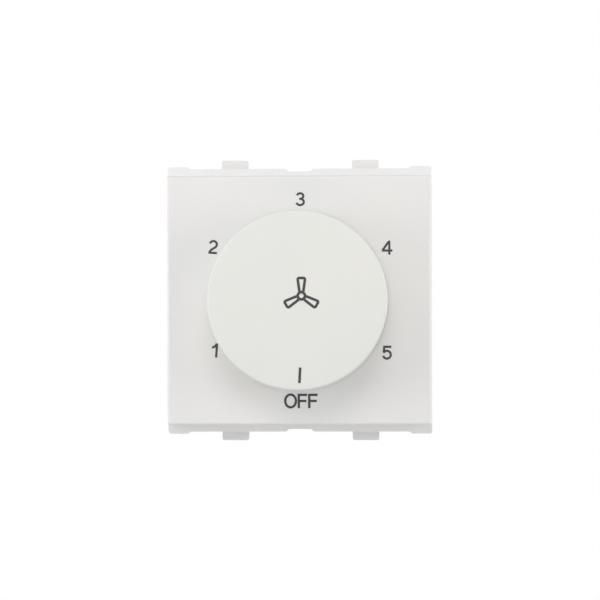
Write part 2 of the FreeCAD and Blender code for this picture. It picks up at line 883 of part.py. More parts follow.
def make_switch_carrier():
    """The deck that closes the case, with the bush in front and the detent cup behind."""
    piece = Piece("switch_carrier")
    width = D.mouth_width - 2 * D.deck_clearance
    height = D.mouth_height - 2 * D.deck_clearance
    cup_length = D.cup_rear - D.deck_rear
    piece.pad(rectangle(piece.front(depth=-D.deck_rear), width, height), D.deck_thickness)
    bush_front = D.plate_front - D.bush_drop
    bush = circle(piece.front(depth=D.rim_thickness), D.bush_radius)
    piece.pad(bush, bush_front - D.rim_thickness)
    piece.pad(circle(piece.front(depth=-D.cup_rear), D.cup_radius + D.cup_wall), cup_length)
    posts = piece.front(depth=-D.cup_rear)
    for side in LEFT_RIGHT:
        circle(posts, D.post_radius, (side * D.post_offset, 0))
    piece.pad(posts, cup_length)
    piece.cut(circle(piece.front(depth=-D.cup_rear), D.cup_radius), cup_length, forwards=True)
    rib = [
        (D.deck_rear, -(D.cup_radius + D.cup_wall / 2)),
        (D.cup_rear, -(D.cup_radius + D.cup_wall / 2)),
        (D.cup_rear, D.stop_rib_height - D.cup_radius),
        (D.deck_rear, D.stop_rib_height - D.cup_radius),
    ]
    piece.turn(polygon(piece.side(), rib), angle=D.stop_rib_angle)
    bearing = circle(piece.front(depth=bush_front), D.journal_radius + D.running_clearance)
    piece.cut(bearing, bush_front + D.deck_rear)
    pilots = piece.front(depth=-D.cup_rear)
    for side in LEFT_RIGHT:
        circle(pilots, D.screw_radius + D.pilot_clearance, (side * D.post_offset, 0))
    pilot_depth = D.screw_length - D.board_thickness + D.pilot_depth_spare
    piece.cut(pilots, pilot_depth, forwards=True)
    add_leaf_slots(piece)
    openings = piece.front(depth=D.rim_thickness)
    notch_width = D.leg_thickness + 2 * D.leg_clearance
    notch_height = D.leg_width + 2 * D.leg_clearance
    notch_x = D.mouth_width / 2 - notch_width / 2
    for side, level in CORNERS:
        hole_radius = D.screw_radius + D.screw_hole_clearance
        circle(openings, hole_radius, (side * D.column_x, level * D.column_z))
        rectangle(openings, notch_width, notch_height, (side * notch_x, level * D.leg_height))
    piece.cut(openings, D.deck_thickness)
    piece.finish()


def add_leaf_slots(piece):
    """Two slots in the cup's wall, open at its rear rim, that hold the ends of the leaf."""
    start = D.cup_radius * cosine(D.leaf_slot_angle)
    end = D.leaf_reach + 2 * D.leaf_slot_clearance
    height = D.leaf_thickness + 2 * D.leaf_slot_clearance
    slots = piece.front(depth=-D.cup_rear)
    for side in LEFT_RIGHT:
        rectangle(slots, end - start, height, (side * (start + end) / 2, D.leaf_height))
    piece.cut(slots, D.cup_rear - D.star_front, forwards=True)


def make_rotor():
    """Shaft, journal, star wheel, wiper disc and tail, moulded in one."""
    piece = Piece("rotor")
    profile = [
        (0, -D.shaft_front),
        (D.shaft_radius, -D.shaft_front),
        (D.shaft_radius, -D.plate_front),
        (D.journal_radius, -D.plate_front),
        (D.journal_radius, D.star_rear),
        (D.disc_radius, D.star_rear),
        (D.disc_radius, D.disc_rear),
        (D.tail_radius, D.disc_rear),
        (D.tail_radius, D.tail_rear),
        (0, D.tail_rear),
    ]
    piece.turn(polygon(piece.plan(), profile))
    star = circle(piece.front(depth=-D.star_rear), D.star_radius)
    piece.pad(star, D.star_rear - D.star_front)
    valley = circle(piece.front(0, D.valley_centre, -D.star_front), D.valley_radius)
    piece.around(piece.cut(valley, D.star_rear - D.star_front), D.positions)
    flat_height = D.shaft_radius - D.shaft_flat
    flat = rectangle(
        piece.front(0, -(D.shaft_flat + flat_height / 2), D.shaft_front),
        2 * D.shaft_radius,
        flat_height,
    )
    piece.cut(flat, D.shaft_front - D.plate_front)
    lug_angle = OFF_ANGLE - D.step_angle / 2
    lug_middle = (D.disc_radius - D.lug_width / 2 + D.lug_reach) / 2
    lug_sketch = piece.front(
        lug_middle * cosine(lug_angle), lug_middle * sine(lug_angle), -D.disc_rear
    )
    bind(lug_sketch, "AttachmentOffset.Rotation.Angle", lug_angle)
    rectangle(lug_sketch, D.lug_reach - D.disc_radius + D.lug_width / 2, D.lug_width)
    piece.pad(lug_sketch, D.disc_rear - D.star_rear)
    pips = piece.front(depth=-D.disc_rear)
    for side in LEFT_RIGHT:
        circle(pips, D.pip_radius, (side * D.pip_spacing / 2, -D.wiper_base_middle))
    piece.pad(pips, D.pip_height, backwards=True)
    piece.finish()


def bent_strip(points, thickness, bend):
    """The outline of a strip bent from flat: a middle line with rounded corners, thickened."""
    path = []
    here = points[0]
    for corner, following in zip(points[1:-1], points[2:]):
        come = (corner - here).normalize()
        go = (following - corner).normalize()
        half_turn = come.getAngle(go) / 2
        trim = bend * math.tan(half_turn)
        start, end = corner - come * trim, corner + go * trim
        bisector = (go - come).normalize()
        centre = corner + bisector * (bend / math.cos(half_turn))
        on_arc = centre - bisector * bend
        path.append(Part.LineSegment(here, start).toShape())
        path.append(Part.Arc(start, on_arc, end).toShape())
        here = end
    path.append(Part.LineSegment(here, points[-1]).toShape())
    wire = Part.Wire(path)
    return wire.makeOffset2D(thickness / 2, 2, True, False, True)


def point(x, y, z):
    """A place given by sizes or plain numbers."""
    return Vector(as_size(x).value, as_size(y).value, as_size(z).value)


def add_strip(name, points, thickness, bend, width):
    """A sheet-metal strip along a row of points, as wide as the vector says."""
    face = bent_strip(points, thickness.value, bend.value)
    strip = doc.addObject("Part::Feature", name)
    strip.Label = name
    strip.Shape = face.extrude(width)
    subparts.append(strip)
    return strip


def make_detent_spring():
    """A leaf across the cup whose nose drops in the star wheel's upper valley."""
    y = (D.star_front + D.star_rear - D.leaf_width) / 2
    nose = D.star_nose_height - D.leaf_thickness / 2
    points = [
        point(-D.leaf_reach, y, D.leaf_height),
        point(-D.nose_half_width, y, D.leaf_height),
        point(0, y, nose),
        point(D.nose_half_width, y, D.leaf_height),
        point(D.leaf_reach, y, D.leaf_height),
    ]
    add_strip("detent_spring", points, D.leaf_thickness, D.nose_bend, point(0, D.leaf_width, 0))


def make_wiper_contact():
    """A bronze bridge on the rotor: one arm rides on the studs, the other on the ring."""
    half = D.wiper_thickness / 2
    base = D.disc_rear + half
    touch = D.wiper_plane - half
    tip_height = touch - D.wiper_tip_lift
    stations = [
        (D.ring_middle - D.wiper_tip_length, tip_height),
        (D.ring_middle, touch),
        (D.wiper_base_inner, base),
        (D.wiper_base_outer, base),
        (D.track_radius, touch),
        (D.track_radius + D.wiper_tip_length, tip_height),
    ]
    points = [point(-D.wiper_width / 2, y, -radius) for radius, y in stations]
    width = point(D.wiper_width, 0, 0)
    strip = add_strip("wiper_contact", points, D.wiper_thickness, D.wiper_bend, width)
    shape = strip.Shape
    hole_radius = (D.pip_radius + D.pilot_clearance).value
    hole_length = 2 * D.pip_height.value
    for side in LEFT_RIGHT:
        start = point(side * D.pip_spacing / 2, D.disc_rear - half, -D.wiper_base_middle)
        hole = Part.makeCylinder(hole_radius, hole_length, start, Vector(0, 1, 0))
        shape = shape.cut(hole)
    strip.Shape = shape


def make_knob_spring_clip():
    """A bowed steel strip between the shaft's flat and the flat of the knob's bore."""
    height = -(D.shaft_flat + D.clip_seat / 2)
    bow = (D.clip_seat - D.clip_thickness) / 2 - D.clip_play
    start = -(D.plate_front + D.clip_setback)
    stations = [(0.0, -1), (0.5, 1), (1.0, -1)]
    points = [
        point(-D.clip_width / 2, start - share * D.clip_length, height + sign * bow)
        for share, sign in stations
    ]
    width = point(D.clip_width, 0, 0)
    add_strip("knob_spring_clip", points, D.clip_thickness, D.clip_bow_bend, width)


def make_contacts():
    """Five riveted studs on the wiper's outer track, one for each speed, and the inner ring."""
    front, seat, rear = D.contact_plane, D.cup_rear, D.board_rear
    for speed in SPEEDS:
        piece = Piece(f"contact_stud_{speed}")
        profile = [
            (0, front),
            (D.stud_radius, front),
            (D.stud_radius, seat),
            (D.stud_shank_radius, seat),
            (D.stud_shank_radius, rear),
            (D.stud_tail_radius, rear),
            (D.stud_tail_radius, rear + D.stud_tail_height),
            (0, rear + D.stud_tail_height),
        ]
        piece.turn(polygon(piece.plan(), profile))
        angle = stud_angle(speed)
        piece.finish((D.track_radius * cosine(angle), 0, D.track_radius * sine(angle)))
    piece = Piece("common_ring")
    middle = (D.ring_middle, (front + seat) / 2)
    piece.turn(rectangle(piece.plan(), D.ring_width, D.stud_height, middle))
    pins = piece.front(depth=-seat)
    for side in LEFT_RIGHT:
        circle(pins, D.ring_pin_radius, (side * D.ring_middle, 0))
    piece.pad(pins, D.ring_pin_length, backwards=True)
    piece.finish()


def stud_angle(speed):
    """Where a speed's stud stands, seen from the front, in degrees from +X towards +Z."""
    return OFF_ANGLE - speed * D.step_angle


# The electrical parts on the board


def lead_feet():
    """Where each lead goes through the board: x and z."""
    feet = []
    for side in LEFT_RIGHT:
        feet += [(side * D.lead_place, D.large_place), (side * D.lead_place, D.small_place)]
        for centre, height, pitch in resistor_places():
            feet.append((centre + side * pitch / 2, height))
    return feet


def resistor_places():
    """The middle and pitch of each resistor: series pair above, bleed pair below."""
    pitch = D.series_pitch_share * D.mouth_width
    x = D.series_place_share * D.mouth_width
    places = [(side * x, D.series_height, pitch) for side in LEFT_RIGHT]
    pitch = D.bleed_pitch_share * D.mouth_width
    for row in (1, 0):
        places.append((as_size(0), D.bleed_height + row * D.bleed_spacing, pitch))
    return places


def make_circuit_board():
    """The board, cut out round the case's columns, with a hole for everything on it."""
    piece = Piece("circuit_board")
    front = -D.cup_rear
    width = D.mouth_width - 2 * D.board_clearance
    height = D.mouth_height - 2 * D.board_clearance
    outline = rectangle(piece.front(depth=-D.board_rear), width, height)
    piece.pad(outline, D.board_thickness)
    notch = D.column_size + D.board_notch_clearance
    corners = piece.front(depth=front)
    for side, level in CORNERS:
        centre = (side * (D.mouth_width / 2 - notch / 2), level * (D.mouth_height / 2 - notch / 2))
        rectangle(corners, notch, notch, centre)
    piece.cut(corners, D.board_thickness)
    clear = D.board_hole_clearance
    holes = piece.front(depth=front)
    circle(holes, D.tail_radius + D.tail_clearance)
    for speed in SPEEDS:
        angle = stud_angle(speed)
        place = (D.track_radius * cosine(angle), D.track_radius * sine(angle))
        circle(holes, D.stud_shank_radius + clear / 2, place)
    for side in LEFT_RIGHT:
        circle(holes, D.ring_pin_radius + clear / 2, (side * D.ring_middle, 0))
        circle(holes, D.screw_radius + D.screw_hole_clearance, (side * D.post_offset, 0))
        rectangle(
            holes,
            D.terminal_leg_width + 2 * clear,
            D.terminal_leg_thickness + 2 * clear,
            (side * D.terminal_place, D.terminal_height),
        )
    for place in lead_feet():
        circle(holes, D.lead_radius + clear, place)
    piece.cut(holes, D.board_thickness)
    piece.finish()


def make_capacitor(name, width, place):
    """A box film capacitor on four small feet, with two leads through the board."""
    piece = Piece(name)
    case = rectangle(piece.front(), D.capacitor_length, width)
    piece.pad(case, D.capacitor_height, backwards=True)
    piece.round_edges(D.capacitor_round, lambda edge: not lies_at(edge, "y", 0))
    feet = piece.front()
    foot_x = (D.capacitor_length - D.foot_size) / 2
    foot_z = (width - D.foot_size - D.capacitor_round) / 2
    for side, level in CORNERS:
        rectangle(feet, D.foot_size, D.foot_size, (side * foot_x, level * foot_z))
    piece.pad(feet, D.capacitor_standoff)
    leads = piece.front()
    for side in LEFT_RIGHT:
        circle(leads, D.lead_radius, (side * D.lead_place, 0))
    piece.pad(leads, D.capacitor_standoff + D.board_thickness - D.lead_recess)
    piece.finish((0, D.capacitor_front, place))


def make_resistor(name, radius, length, pitch, x, z):
    """An axial resistor with dog-bone ends, its one wire bent down through the board."""
    piece = Piece(name)
    end = length / 2
    cap = length * D.resistor_cap_share
    waist = radius - D.resistor_waist
    profile = [
        (-end, 0),
        (-end, radius),
        (-end + cap, radius),
        (-end + cap, waist),
        (end - cap, waist),
        (end - cap, radius),
        (end, radius),
        (end, 0),
    ]
    piece.turn(polygon(piece.plan(), profile), axis="X_Axis")
    ends = (-end.value, end.value)
    piece.round_edges(
        radius * D.resistor_round_share,
        lambda edge: any(lies_at(edge, "x", x) for x in ends),
    )
    axis_y = D.board_rear + D.resistor_standoff + radius
    drop = axis_y - D.cup_rear - D.lead_recess
    path = lead_path(piece.plan(), pitch / 2, drop, D.lead_bend)
    section = circle(piece.front(-pitch / 2, 0, drop), D.lead_radius)
    pipe = piece.body.newObject("PartDesign::AdditivePipe", piece.named("pipe"))
    pipe.Profile = section
    pipe.Spine = (path, [f"Edge{i}" for i in range(1, path.GeometryCount + 1)])
    doc.recompute()
    piece.finish((x, axis_y, z))


def make_resistors():
    names = ["series_resistor_1", "series_resistor_2", "bleed_resistor_1", "bleed_resistor_2"]
    series = (D.series_radius, D.series_length_share * D.mouth_width)
    bleed = (D.bleed_radius, D.bleed_length_share * D.mouth_width)
    bodies = [series, series, bleed, bleed]
    for name, (radius, length), (x, z, pitch) in zip(names, bodies, resistor_places()):
        make_resistor(name, radius, length, pitch, x, z)


# Terminals


def make_terminal(name, side):
    """A brass tunnel terminal: the wire enters from below and the screw from behind."""
    piece = Piece(name)
    half = D.terminal_long / 2
    block = rectangle(piece.front(depth=-half), D.terminal_width, D.terminal_tall)
    piece.pad(block, D.terminal_long)
    piece.round_edges(D.terminal_chamfer, lambda edge: along(edge, Vector(0, 1, 0)), chamfer=True)
    leg = rectangle(piece.front(depth=half), D.terminal_leg_width, D.terminal_leg_thickness)
    piece.pad(leg, D.terminal_front - D.cup_rear - D.lead_recess)
    bore = circle(piece.plan(z=D.terminal_tall / 2), D.wire_bore_radius)
    piece.cut(bore, D.terminal_tall)
    tapped = circle(piece.front(depth=-half), D.clamp_screw_radius + D.clamp_screw_clearance)
    piece.cut(tapped, half, forwards=True)
    piece.finish((side * D.terminal_place, D.terminal_depth, D.terminal_height))


def make_terminal_screw(name, side):
    """The clamping screw, backed out so that the wire bore is free."""
    piece = Piece(name)
    tip = D.clamp_tip_rest
    head = D.clamp_head_rest
    profile = [
        (0, tip),
        (D.clamp_screw_radius, tip),
        (D.clamp_screw_radius, head),
        (D.clamp_head_radius, head),
        (D.clamp_head_radius, head + D.clamp_head_height),
        (0, head + D.clamp_head_height),
    ]
    piece.turn(polygon(piece.plan(), profile))
    slot = rectangle(
        piece.front(depth=-(head + D.clamp_head_height)),
        2 * D.clamp_head_radius,
        D.clamp_slot_width,
    )
    piece.cut(slot, D.clamp_slot_depth, forwards=True)
    piece.finish((side * D.terminal_place, 0, D.terminal_height))


# Small screws, as a group of like solids


def small_screw(name, x, seat, z, forwards):
    """One slotted self-tapping screw. Its shank points back, or forwards in the board's."""
    tilt = -90 if forwards else 90
    pieces = []
    shapes = [
        ("shank", D.screw_radius, -D.screw_length, D.screw_length),
        ("head", D.screw_head_radius, 0, D.screw_head_height),
    ]
    for kind, radius, start, length in shapes:
        cylinder = doc.addObject("Part::Cylinder", f"{name}_{kind}")
        bind(cylinder, "Radius", radius)
        bind(cylinder, "Height", length)
        bind(cylinder, "Placement.Base.z", start)
        pieces.append(cylinder)
    screw = doc.addObject("Part::MultiFuse", f"{name}_blank")
    screw.Shapes = pieces
    slot = doc.addObject("Part::Box", f"{name}_slot")
    bind(slot, "Length", 2 * D.screw_head_radius)
    bind(slot, "Width", D.screw_slot_width)
    bind(slot, "Height", D.screw_slot_depth)
    bind(slot, "Placement.Base.x", -D.screw_head_radius)
    bind(slot, "Placement.Base.y", -D.screw_slot_width / 2)
    bind(slot, "Placement.Base.z", D.screw_head_height - D.screw_slot_depth)
    cut = doc.addObject("Part::Cut", name)
    cut.Base = screw
    cut.Tool = slot
    cut.Placement = FreeCAD.Placement(Vector(0, 0, 0), FreeCAD.Rotation(Vector(1, 0, 0), tilt))
    for letter, size in zip("xyz", (x, -seat, z)):
        bind(cut, f"Placement.Base.{letter}", size)
    return cut


def make_screws():
    carrier = []
    for side in LEFT_RIGHT:
        for level in LEFT_RIGHT:
            name = f"carrier_screw_{len(carrier) + 1}"
            carrier.append(
                small_screw(name, side * D.column_x, D.rim_thickness, level * D.column_z, False)
            )
    board = [
        small_screw(f"board_screw_{i}", side * D.post_offset, -D.board_rear, 0, True)
        for i, side in enumerate(LEFT_RIGHT, start=1)
    ]
    for name, members in (("carrier_screws", carrier), ("board_screws", board)):
        group = doc.addObject("Part::Compound", name)
        group.Label = name
        group.Links = members
        subparts.append(group)


# The whole switch

make_front_plate()
make_knob()
make_knob_spring_clip()
make_housing()
make_switch_carrier()
make_rotor()
make_detent_spring()
make_wiper_contact()
make_contacts()
make_circuit_board()
make_capacitor("speed_capacitor_large", D.large_width, D.large_place)
make_capacitor("speed_capacitor_small", D.small_width, D.small_place)
make_resistors()
for name, side in (("line", -1), ("load", 1)):
    make_terminal(f"{name}_terminal", side)
    make_terminal_screw(f"{name}_terminal_screw", side)
make_screws()
doc.recompute()

for item in doc.Objects:
    if "Invalid" in item.State or "Error" in item.State:
        raise RuntimeError(f"{item.Name} failed: {item.State}")
for item in subparts:
    if item.Shape.isNull() or not item.Shape.isValid() or not item.Shape.Solids:
        raise RuntimeError(f"{item.Label} has no valid solid")

os.makedirs("parts", exist_ok=True)
for item in subparts:
    item.Shape.exportStep(f"parts/{item.Label}.step")
    print(f"{item.Label}: {len(item.Shape.Solids)} solid, {item.Shape.Volume:.1f} mm3")
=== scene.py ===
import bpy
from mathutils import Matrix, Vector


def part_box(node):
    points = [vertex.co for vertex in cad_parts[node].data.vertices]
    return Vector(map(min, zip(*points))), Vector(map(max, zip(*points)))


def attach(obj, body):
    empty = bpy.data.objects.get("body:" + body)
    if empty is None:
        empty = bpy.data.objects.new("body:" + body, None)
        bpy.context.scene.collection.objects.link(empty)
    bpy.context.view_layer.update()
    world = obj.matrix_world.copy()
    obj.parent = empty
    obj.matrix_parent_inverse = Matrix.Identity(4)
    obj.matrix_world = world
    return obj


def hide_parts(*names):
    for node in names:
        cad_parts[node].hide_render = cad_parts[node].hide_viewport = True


bl_info = {
    "name": "Fan speed switch",
    "version": (1, 0, 0),
    "blender": (4, 5, 0),
    "location": "3D View > Sidebar > Fan switch",
    "description": "Dresses a rotary fan speed switch and sets its studio",
    "category": "Object",
}

import math

import bmesh
import bpy
from bpy.props import FloatProperty, FloatVectorProperty, IntProperty, PointerProperty
from mathutils import Matrix, Vector
from mathutils.geometry import interpolate_bezier

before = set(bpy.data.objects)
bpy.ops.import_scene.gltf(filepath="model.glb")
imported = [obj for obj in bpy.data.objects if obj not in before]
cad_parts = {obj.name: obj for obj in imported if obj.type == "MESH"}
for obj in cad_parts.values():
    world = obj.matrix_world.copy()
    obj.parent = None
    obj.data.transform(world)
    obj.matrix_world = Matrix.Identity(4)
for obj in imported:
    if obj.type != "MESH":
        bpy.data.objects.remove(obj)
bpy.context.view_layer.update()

MM = 0.001
PLATE_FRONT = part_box("front_plate")[0].y
KNOB_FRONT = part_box("knob")[0].y
HUB_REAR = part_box("knob")[1].y
KNOB_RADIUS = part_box("knob")[1].x
SHAFT_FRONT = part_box("rotor")[0].y
MERGE = 0.0005 * MM  # points nearer than this are one
FLAT_ANGLE = math.radians(0.5)  # faces that turn less than this are one
SHARP_ANGLE = math.radians(50)  # a moulded edge that turns more than this gets a round


# Sizes and colours that a user would change


def length(name, description, default):
    return FloatProperty(
        name=name, description=description, subtype="DISTANCE", unit="LENGTH",
        default=default * MM, precision=5,
    )


def colour(name, description, default):
    return FloatVectorProperty(
        name=name, description=description, subtype="COLOR", size=3,
        min=0.0, max=1.0, default=default,
    )


def power(name, description, default):
    return FloatProperty(
        name=name, description=description, unit="POWER", min=0.0, default=default
    )


class MouldingLook(bpy.types.PropertyGroup):
    cover_colour: colour("Cover", "Colour of the front plate's plastic", (0.809, 0.808, 0.802))
    knob_colour: colour("Knob", "Colour of the knob's plastic", (0.791, 0.799, 0.77))
    case_colour: colour("Case", "Colour of the case's plastic", (0.87, 0.872, 0.876))
    roughness: FloatProperty(
        name="Roughness", description="How matt the white mouldings are",
        subtype="FACTOR", min=0.0, max=1.0, default=0.46,
    )
    edge_break: length("Edge break", "Width of the small round on each moulded edge", 0.06)


class KnobSizes(bpy.types.PropertyGroup):
    face_recess: length("Face recess", "How far the face lies behind its print", 0.03)
    taper: length("Taper", "How much smaller the front is than the rim, in radius", 0.08)
    edge_round: length("Edge round", "Radius of the round at the front edge", 0.42)
    wall: length("Wall", "Thickness of the cap", 1.5)
    skirt_height: length("Skirt", "Height of the side, from the face to the rim", 7.6)
    hub_radius: length("Hub radius", "Radius of the hub round the shaft", 5.0)
    bore_radius: length("Bore radius", "Radius of the hub's bore", 3.05)
    bore_flat: length("Bore flat", "How far the bore's flat lies below its centre", 2.05)
    bore_gap: length("Bore gap", "Room in front of the shaft's end", 0.2)
    ribs: IntProperty(name="Ribs", description="Number of inner ribs", min=3, max=24, default=6)
    rib_width: length("Rib width", "Thickness of each inner rib", 1.0)
    rib_height: length("Rib height", "Height of each inner rib", 3.0)


class PrintSizes(bpy.types.PropertyGroup):
    ink_colour: colour("Ink", "Colour of the printed scale", (0.042, 0.042, 0.043))
    stroke: length("Stroke", "Width of the strokes of the numbers", 0.37)
    letter_stroke: length("Letter stroke", "Width of the strokes of the letters", 0.4)
    digit_height: length("Number height", "Height of the numbers", 2.38)
    letter_height: length("Letter height", "Height of the letters", 2.46)
    thickness: length("Ink thickness", "Thickness of the printed film", 0.03)
    pointer_width: length("Pointer width", "Width of the knob's pointer line", 0.43)
    pointer_length: length("Pointer length", "Length of the knob's pointer line", 2.6)


class FanSignSizes(bpy.types.PropertyGroup):
    blades: IntProperty(name="Blades", description="Number of blades", min=2, max=8, default=3)
    hub_radius: length("Hub radius", "Radius of the middle of the hub's ring", 0.6)
    blade_start: length("Blade start", "Where each blade's line leaves the hub", 0.62)
    blade_end: length("Blade end", "Where each blade's line ends", 2.96)
    root_width: length("Root width", "Width of a blade's line at the hub", 0.62)
    tip_width: length("Tip width", "Width of a blade's line at its end", 1.27)
    corner_radius: length("Corner radius", "Round of the corners of a blade's line", 0.25)
    stroke: length("Stroke", "Width of the line", 0.45)


class ScrewSizes(bpy.types.PropertyGroup):
    small_shank: length("Small shank", "Radius of the self-tapping screws", 1.1)
    small_head: length("Small head", "Radius of the self-tapping screws' heads", 2.1)
    small_head_height: length("Small head height", "Height of those heads", 1.3)
    small_slot: length("Small slot", "Width and depth of those slots", 0.6)
    small_pitch: length("Small pitch", "Pitch of the self-tapping thread", 0.9)
    clamp_shank: length("Clamp shank", "Radius of the clamping screws", 1.5)
    clamp_head: length("Clamp head", "Radius of the clamping screws' heads", 2.3)
    clamp_head_height: length("Clamp head height", "Height of those heads", 1.6)
    clamp_slot: length("Clamp slot", "Width and depth of those slots", 0.75)
    clamp_pitch: length("Clamp pitch", "Pitch of the clamping thread", 0.5)


class StudioLook(bpy.types.PropertyGroup):
    distance: length("Camera distance", "Distance of the camera from the plate", 350.0)
    aim_right: length("Aim right", "How far right of the plate's middle the camera looks", 0.195)
    aim_up: length("Aim up", "How far above the plate's middle the camera looks", 0.03)
    yaw: FloatProperty(
        name="Yaw", description="How far the camera stands to the right of the plate's middle",
        subtype="ANGLE", unit="ROTATION", default=math.radians(2.2),
    )
    roll: FloatProperty(
        name="Roll", description="How far the camera leans to its right",
        subtype="ANGLE", unit="ROTATION", default=math.radians(0.17),
    )
    lens: FloatProperty(
        name="Focal length", description="Focal length of the camera, in millimetres",
        min=10.0, default=123.6,
    )
    ambient: FloatProperty(
        name="Even light", description="Strength of the even light from all round",
        min=0.0, default=0.405,
    )
    left_power: power("Left light", "Power of the soft light on the left", 0.93)
    high_power: power("High light", "Power of the soft light high on the left", 0.69)
    right_power: power("Right light", "Power of the soft light on the right", 0.92)
    near_power: power("Near light", "Power of the small light above the switch", 0.183)
    back_power: power("Back lights", "Power of each of the two lights behind", 1.3)


PROPERTY_GROUPS = {
    "switch_moulding": MouldingLook,
    "switch_knob": KnobSizes,
    "switch_print": PrintSizes,
    "switch_fan_sign": FanSignSizes,
    "switch_screws": ScrewSizes,
    "switch_studio": StudioLook,
}


# Node trees


class NodeWork:
    """Short names for building a node tree."""

    prefix = "ShaderNode"

    def __init__(self, tree):
        self.tree = tree
        tree.nodes.clear()

    def link(self, source, target):
        self.tree.links.new(source, target)

    def fill(self, socket, value):
        """Feeds a socket from another one, or sets it to a plain value."""
        if isinstance(value, bpy.types.NodeSocket):
            self.link(value, socket)
        else:
            socket.default_value = value

    def node(self, kind, inputs=None, **settings):
        """Adds a node; an input takes a plain value, a socket or a list of sockets."""
        node = self.tree.nodes.new(kind if "Node" in kind else self.prefix + kind)
        for key, value in settings.items():
            setattr(node, key, value)
        for key, value in (inputs or {}).items():
            socket = next(s for s in node.inputs if s.name == key and s.enabled)
            for source in value if isinstance(value, list) else [value]:
                self.fill(socket, source)
        return node

    def add(self, kind, inputs=None, **settings):
        """Adds a node, and gives the first of its outputs that is in use."""
        node = self.node(kind, inputs, **settings)
        return next(s for s in node.outputs if s.enabled)

    def calc(self, operation, first, second):
        """Works out a number from two, each a socket or a plain number."""
        node = self.node("ShaderNodeMath", operation=operation)
        self.fill(node.inputs[0], first)
        self.fill(node.inputs[1], second)
        return node.outputs["Value"]

    def plus(self, first, second):
        return self.calc("ADD", first, second)

    def less(self, first, second):
        return self.calc("SUBTRACT", first, second)

    def times(self, first, second):
        return self.calc("MULTIPLY", first, second)


# Materials


class Finish(NodeWork):
    """One material's nodes; the shader's own sockets are named with _ for a space."""

    def __init__(self, name, **sockets):
        self.material = bpy.data.materials.new(name)
        self.material.use_nodes = True
        super().__init__(self.material.node_tree)
        self.shader = self.node("BsdfPrincipled")
        for key, value in sockets.items():
            self.shader.inputs[key.replace("_", " ")].default_value = value
        self.node("OutputMaterial", {"Surface": self.shader.outputs["BSDF"]})
        self.place = self.node("TexCoord").outputs["Object"]

    def centred(self, centre=(0.0, 0.0, 0.0), scale=(1.0, 1.0, 1.0)):
        """The place on the piece, measured from a centre and stretched."""
        shift = tuple(-c * s for c, s in zip(centre, scale))
        return self.add("Mapping", {"Vector": self.place, "Location": shift, "Scale": scale})

    def noise(self, scale, detail=2.0, roughness=0.5, place=None):
        """A noise pattern; scale is in features for each metre."""
        numbers = {"Scale": scale, "Detail": detail, "Roughness": roughness}
        return self.add("TexNoise", {"Vector": place or self.place, **numbers})

    def spread(self, value, low=0.0, high=1.0, start=0.3, end=0.7):
        """Maps a pattern to a range of numbers."""
        numbers = {"From Min": start, "From Max": end, "To Min": low, "To Max": high}
        return self.add("MapRange", {"Value": value, **numbers})

    def blend(self, value, *tones):
        """Mixes two colours, each a pattern or a plain colour."""
        first, second = (t if isinstance(t, bpy.types.NodeSocket) else (*t, 1.0) for t in tones)
        return self.add("Mix", {"Factor": value, "A": first, "B": second}, data_type="RGBA")

    def drive(self, **patterns):
        """Feeds the shader's sockets from patterns."""
        for key, pattern in patterns.items():
            self.link(pattern, self.shader.inputs[key.replace("_", " ")])

    def done(self, tone, roughness, height, strength, distance):
        """Feeds the shader its colour, roughness and relief, and gives the material."""
        relief = {"Height": height, "Strength": strength, "Distance": distance}
        self.drive(Base_Color=tone, Roughness=roughness, Normal=self.add("Bump", relief))
        return self.material


def shade(tone, factor):
    """A darker or lighter tone of a colour."""
    return tuple(min(1.0, channel * factor) for channel in tone)


def moulded_plastic(name, tone, roughness, grain=9000.0, relief=0.10, tint=0.02):
    """Spark-eroded moulding: fine grain, and a faint cloudiness in colour and gloss."""
    finish = Finish(name, IOR=1.49)
    cloud = finish.noise(55.0, detail=3.0)
    warm = (tone[0] * (1 + tint), tone[1], tone[2] * (1 - tint))
    mixed = finish.blend(finish.spread(cloud), shade(tone, 1 - tint), warm)
    fine = finish.noise(grain, detail=3.0, roughness=0.6)
    uneven = finish.spread(fine, roughness - 0.05, roughness + 0.07)
    return finish.done(mixed, uneven, fine, relief, 0.02 * MM)


def printed_ink(name, tone):
    """Pad-printed ink: nearly matt, a little uneven in depth of colour."""
    finish = Finish(name, IOR=1.5)
    speckle = finish.noise(5200.0, detail=2.0)
    mixed = finish.blend(finish.spread(speckle), tone, shade(tone, 1.35))
    return finish.done(mixed, finish.spread(speckle, 0.5, 0.66), speckle, 0.08, 0.01 * MM)


def worked_metal(name, tone, roughness, stretch=(1.0, 1.0, 1.0), scale=2400.0, relief=0.12):
    """Metal with fine drawn or turned marks, and patches where it has dulled."""
    finish = Finish(name, Metallic=1.0)
    marks = finish.noise(scale, detail=4.0, roughness=0.65, place=finish.centred(scale=stretch))
    dull = finish.noise(260.0, detail=3.0)
    mixed = finish.blend(finish.spread(dull), tone, shade(tone, 0.82))
    uneven = finish.spread(marks, roughness - 0.08, roughness + 0.12)
    return finish.done(mixed, uneven, marks, relief, 0.01 * MM)


def phenolic_board(name):
    """Brown phenolic paper: long pale fibres under a glossy resin skin."""
    finish = Finish(name, IOR=1.55)
    fibres = finish.noise(900.0, 5.0, 0.7, finish.centred(scale=(0.18, 1.0, 1.0)))
    flecks = finish.noise(3800.0, 2.0, 0.5, finish.centred(scale=(1.0, 1.0, 0.3)))
    ground = finish.blend(finish.spread(fibres), (0.30, 0.155, 0.055), (0.46, 0.27, 0.11))
    pale = finish.spread(flecks, 0.0, 0.35, 0.55, 0.75)
    mixed = finish.blend(pale, ground, (0.62, 0.43, 0.22))
    return finish.done(mixed, finish.spread(fibres, 0.30, 0.48), fibres, 0.15, 0.02 * MM)


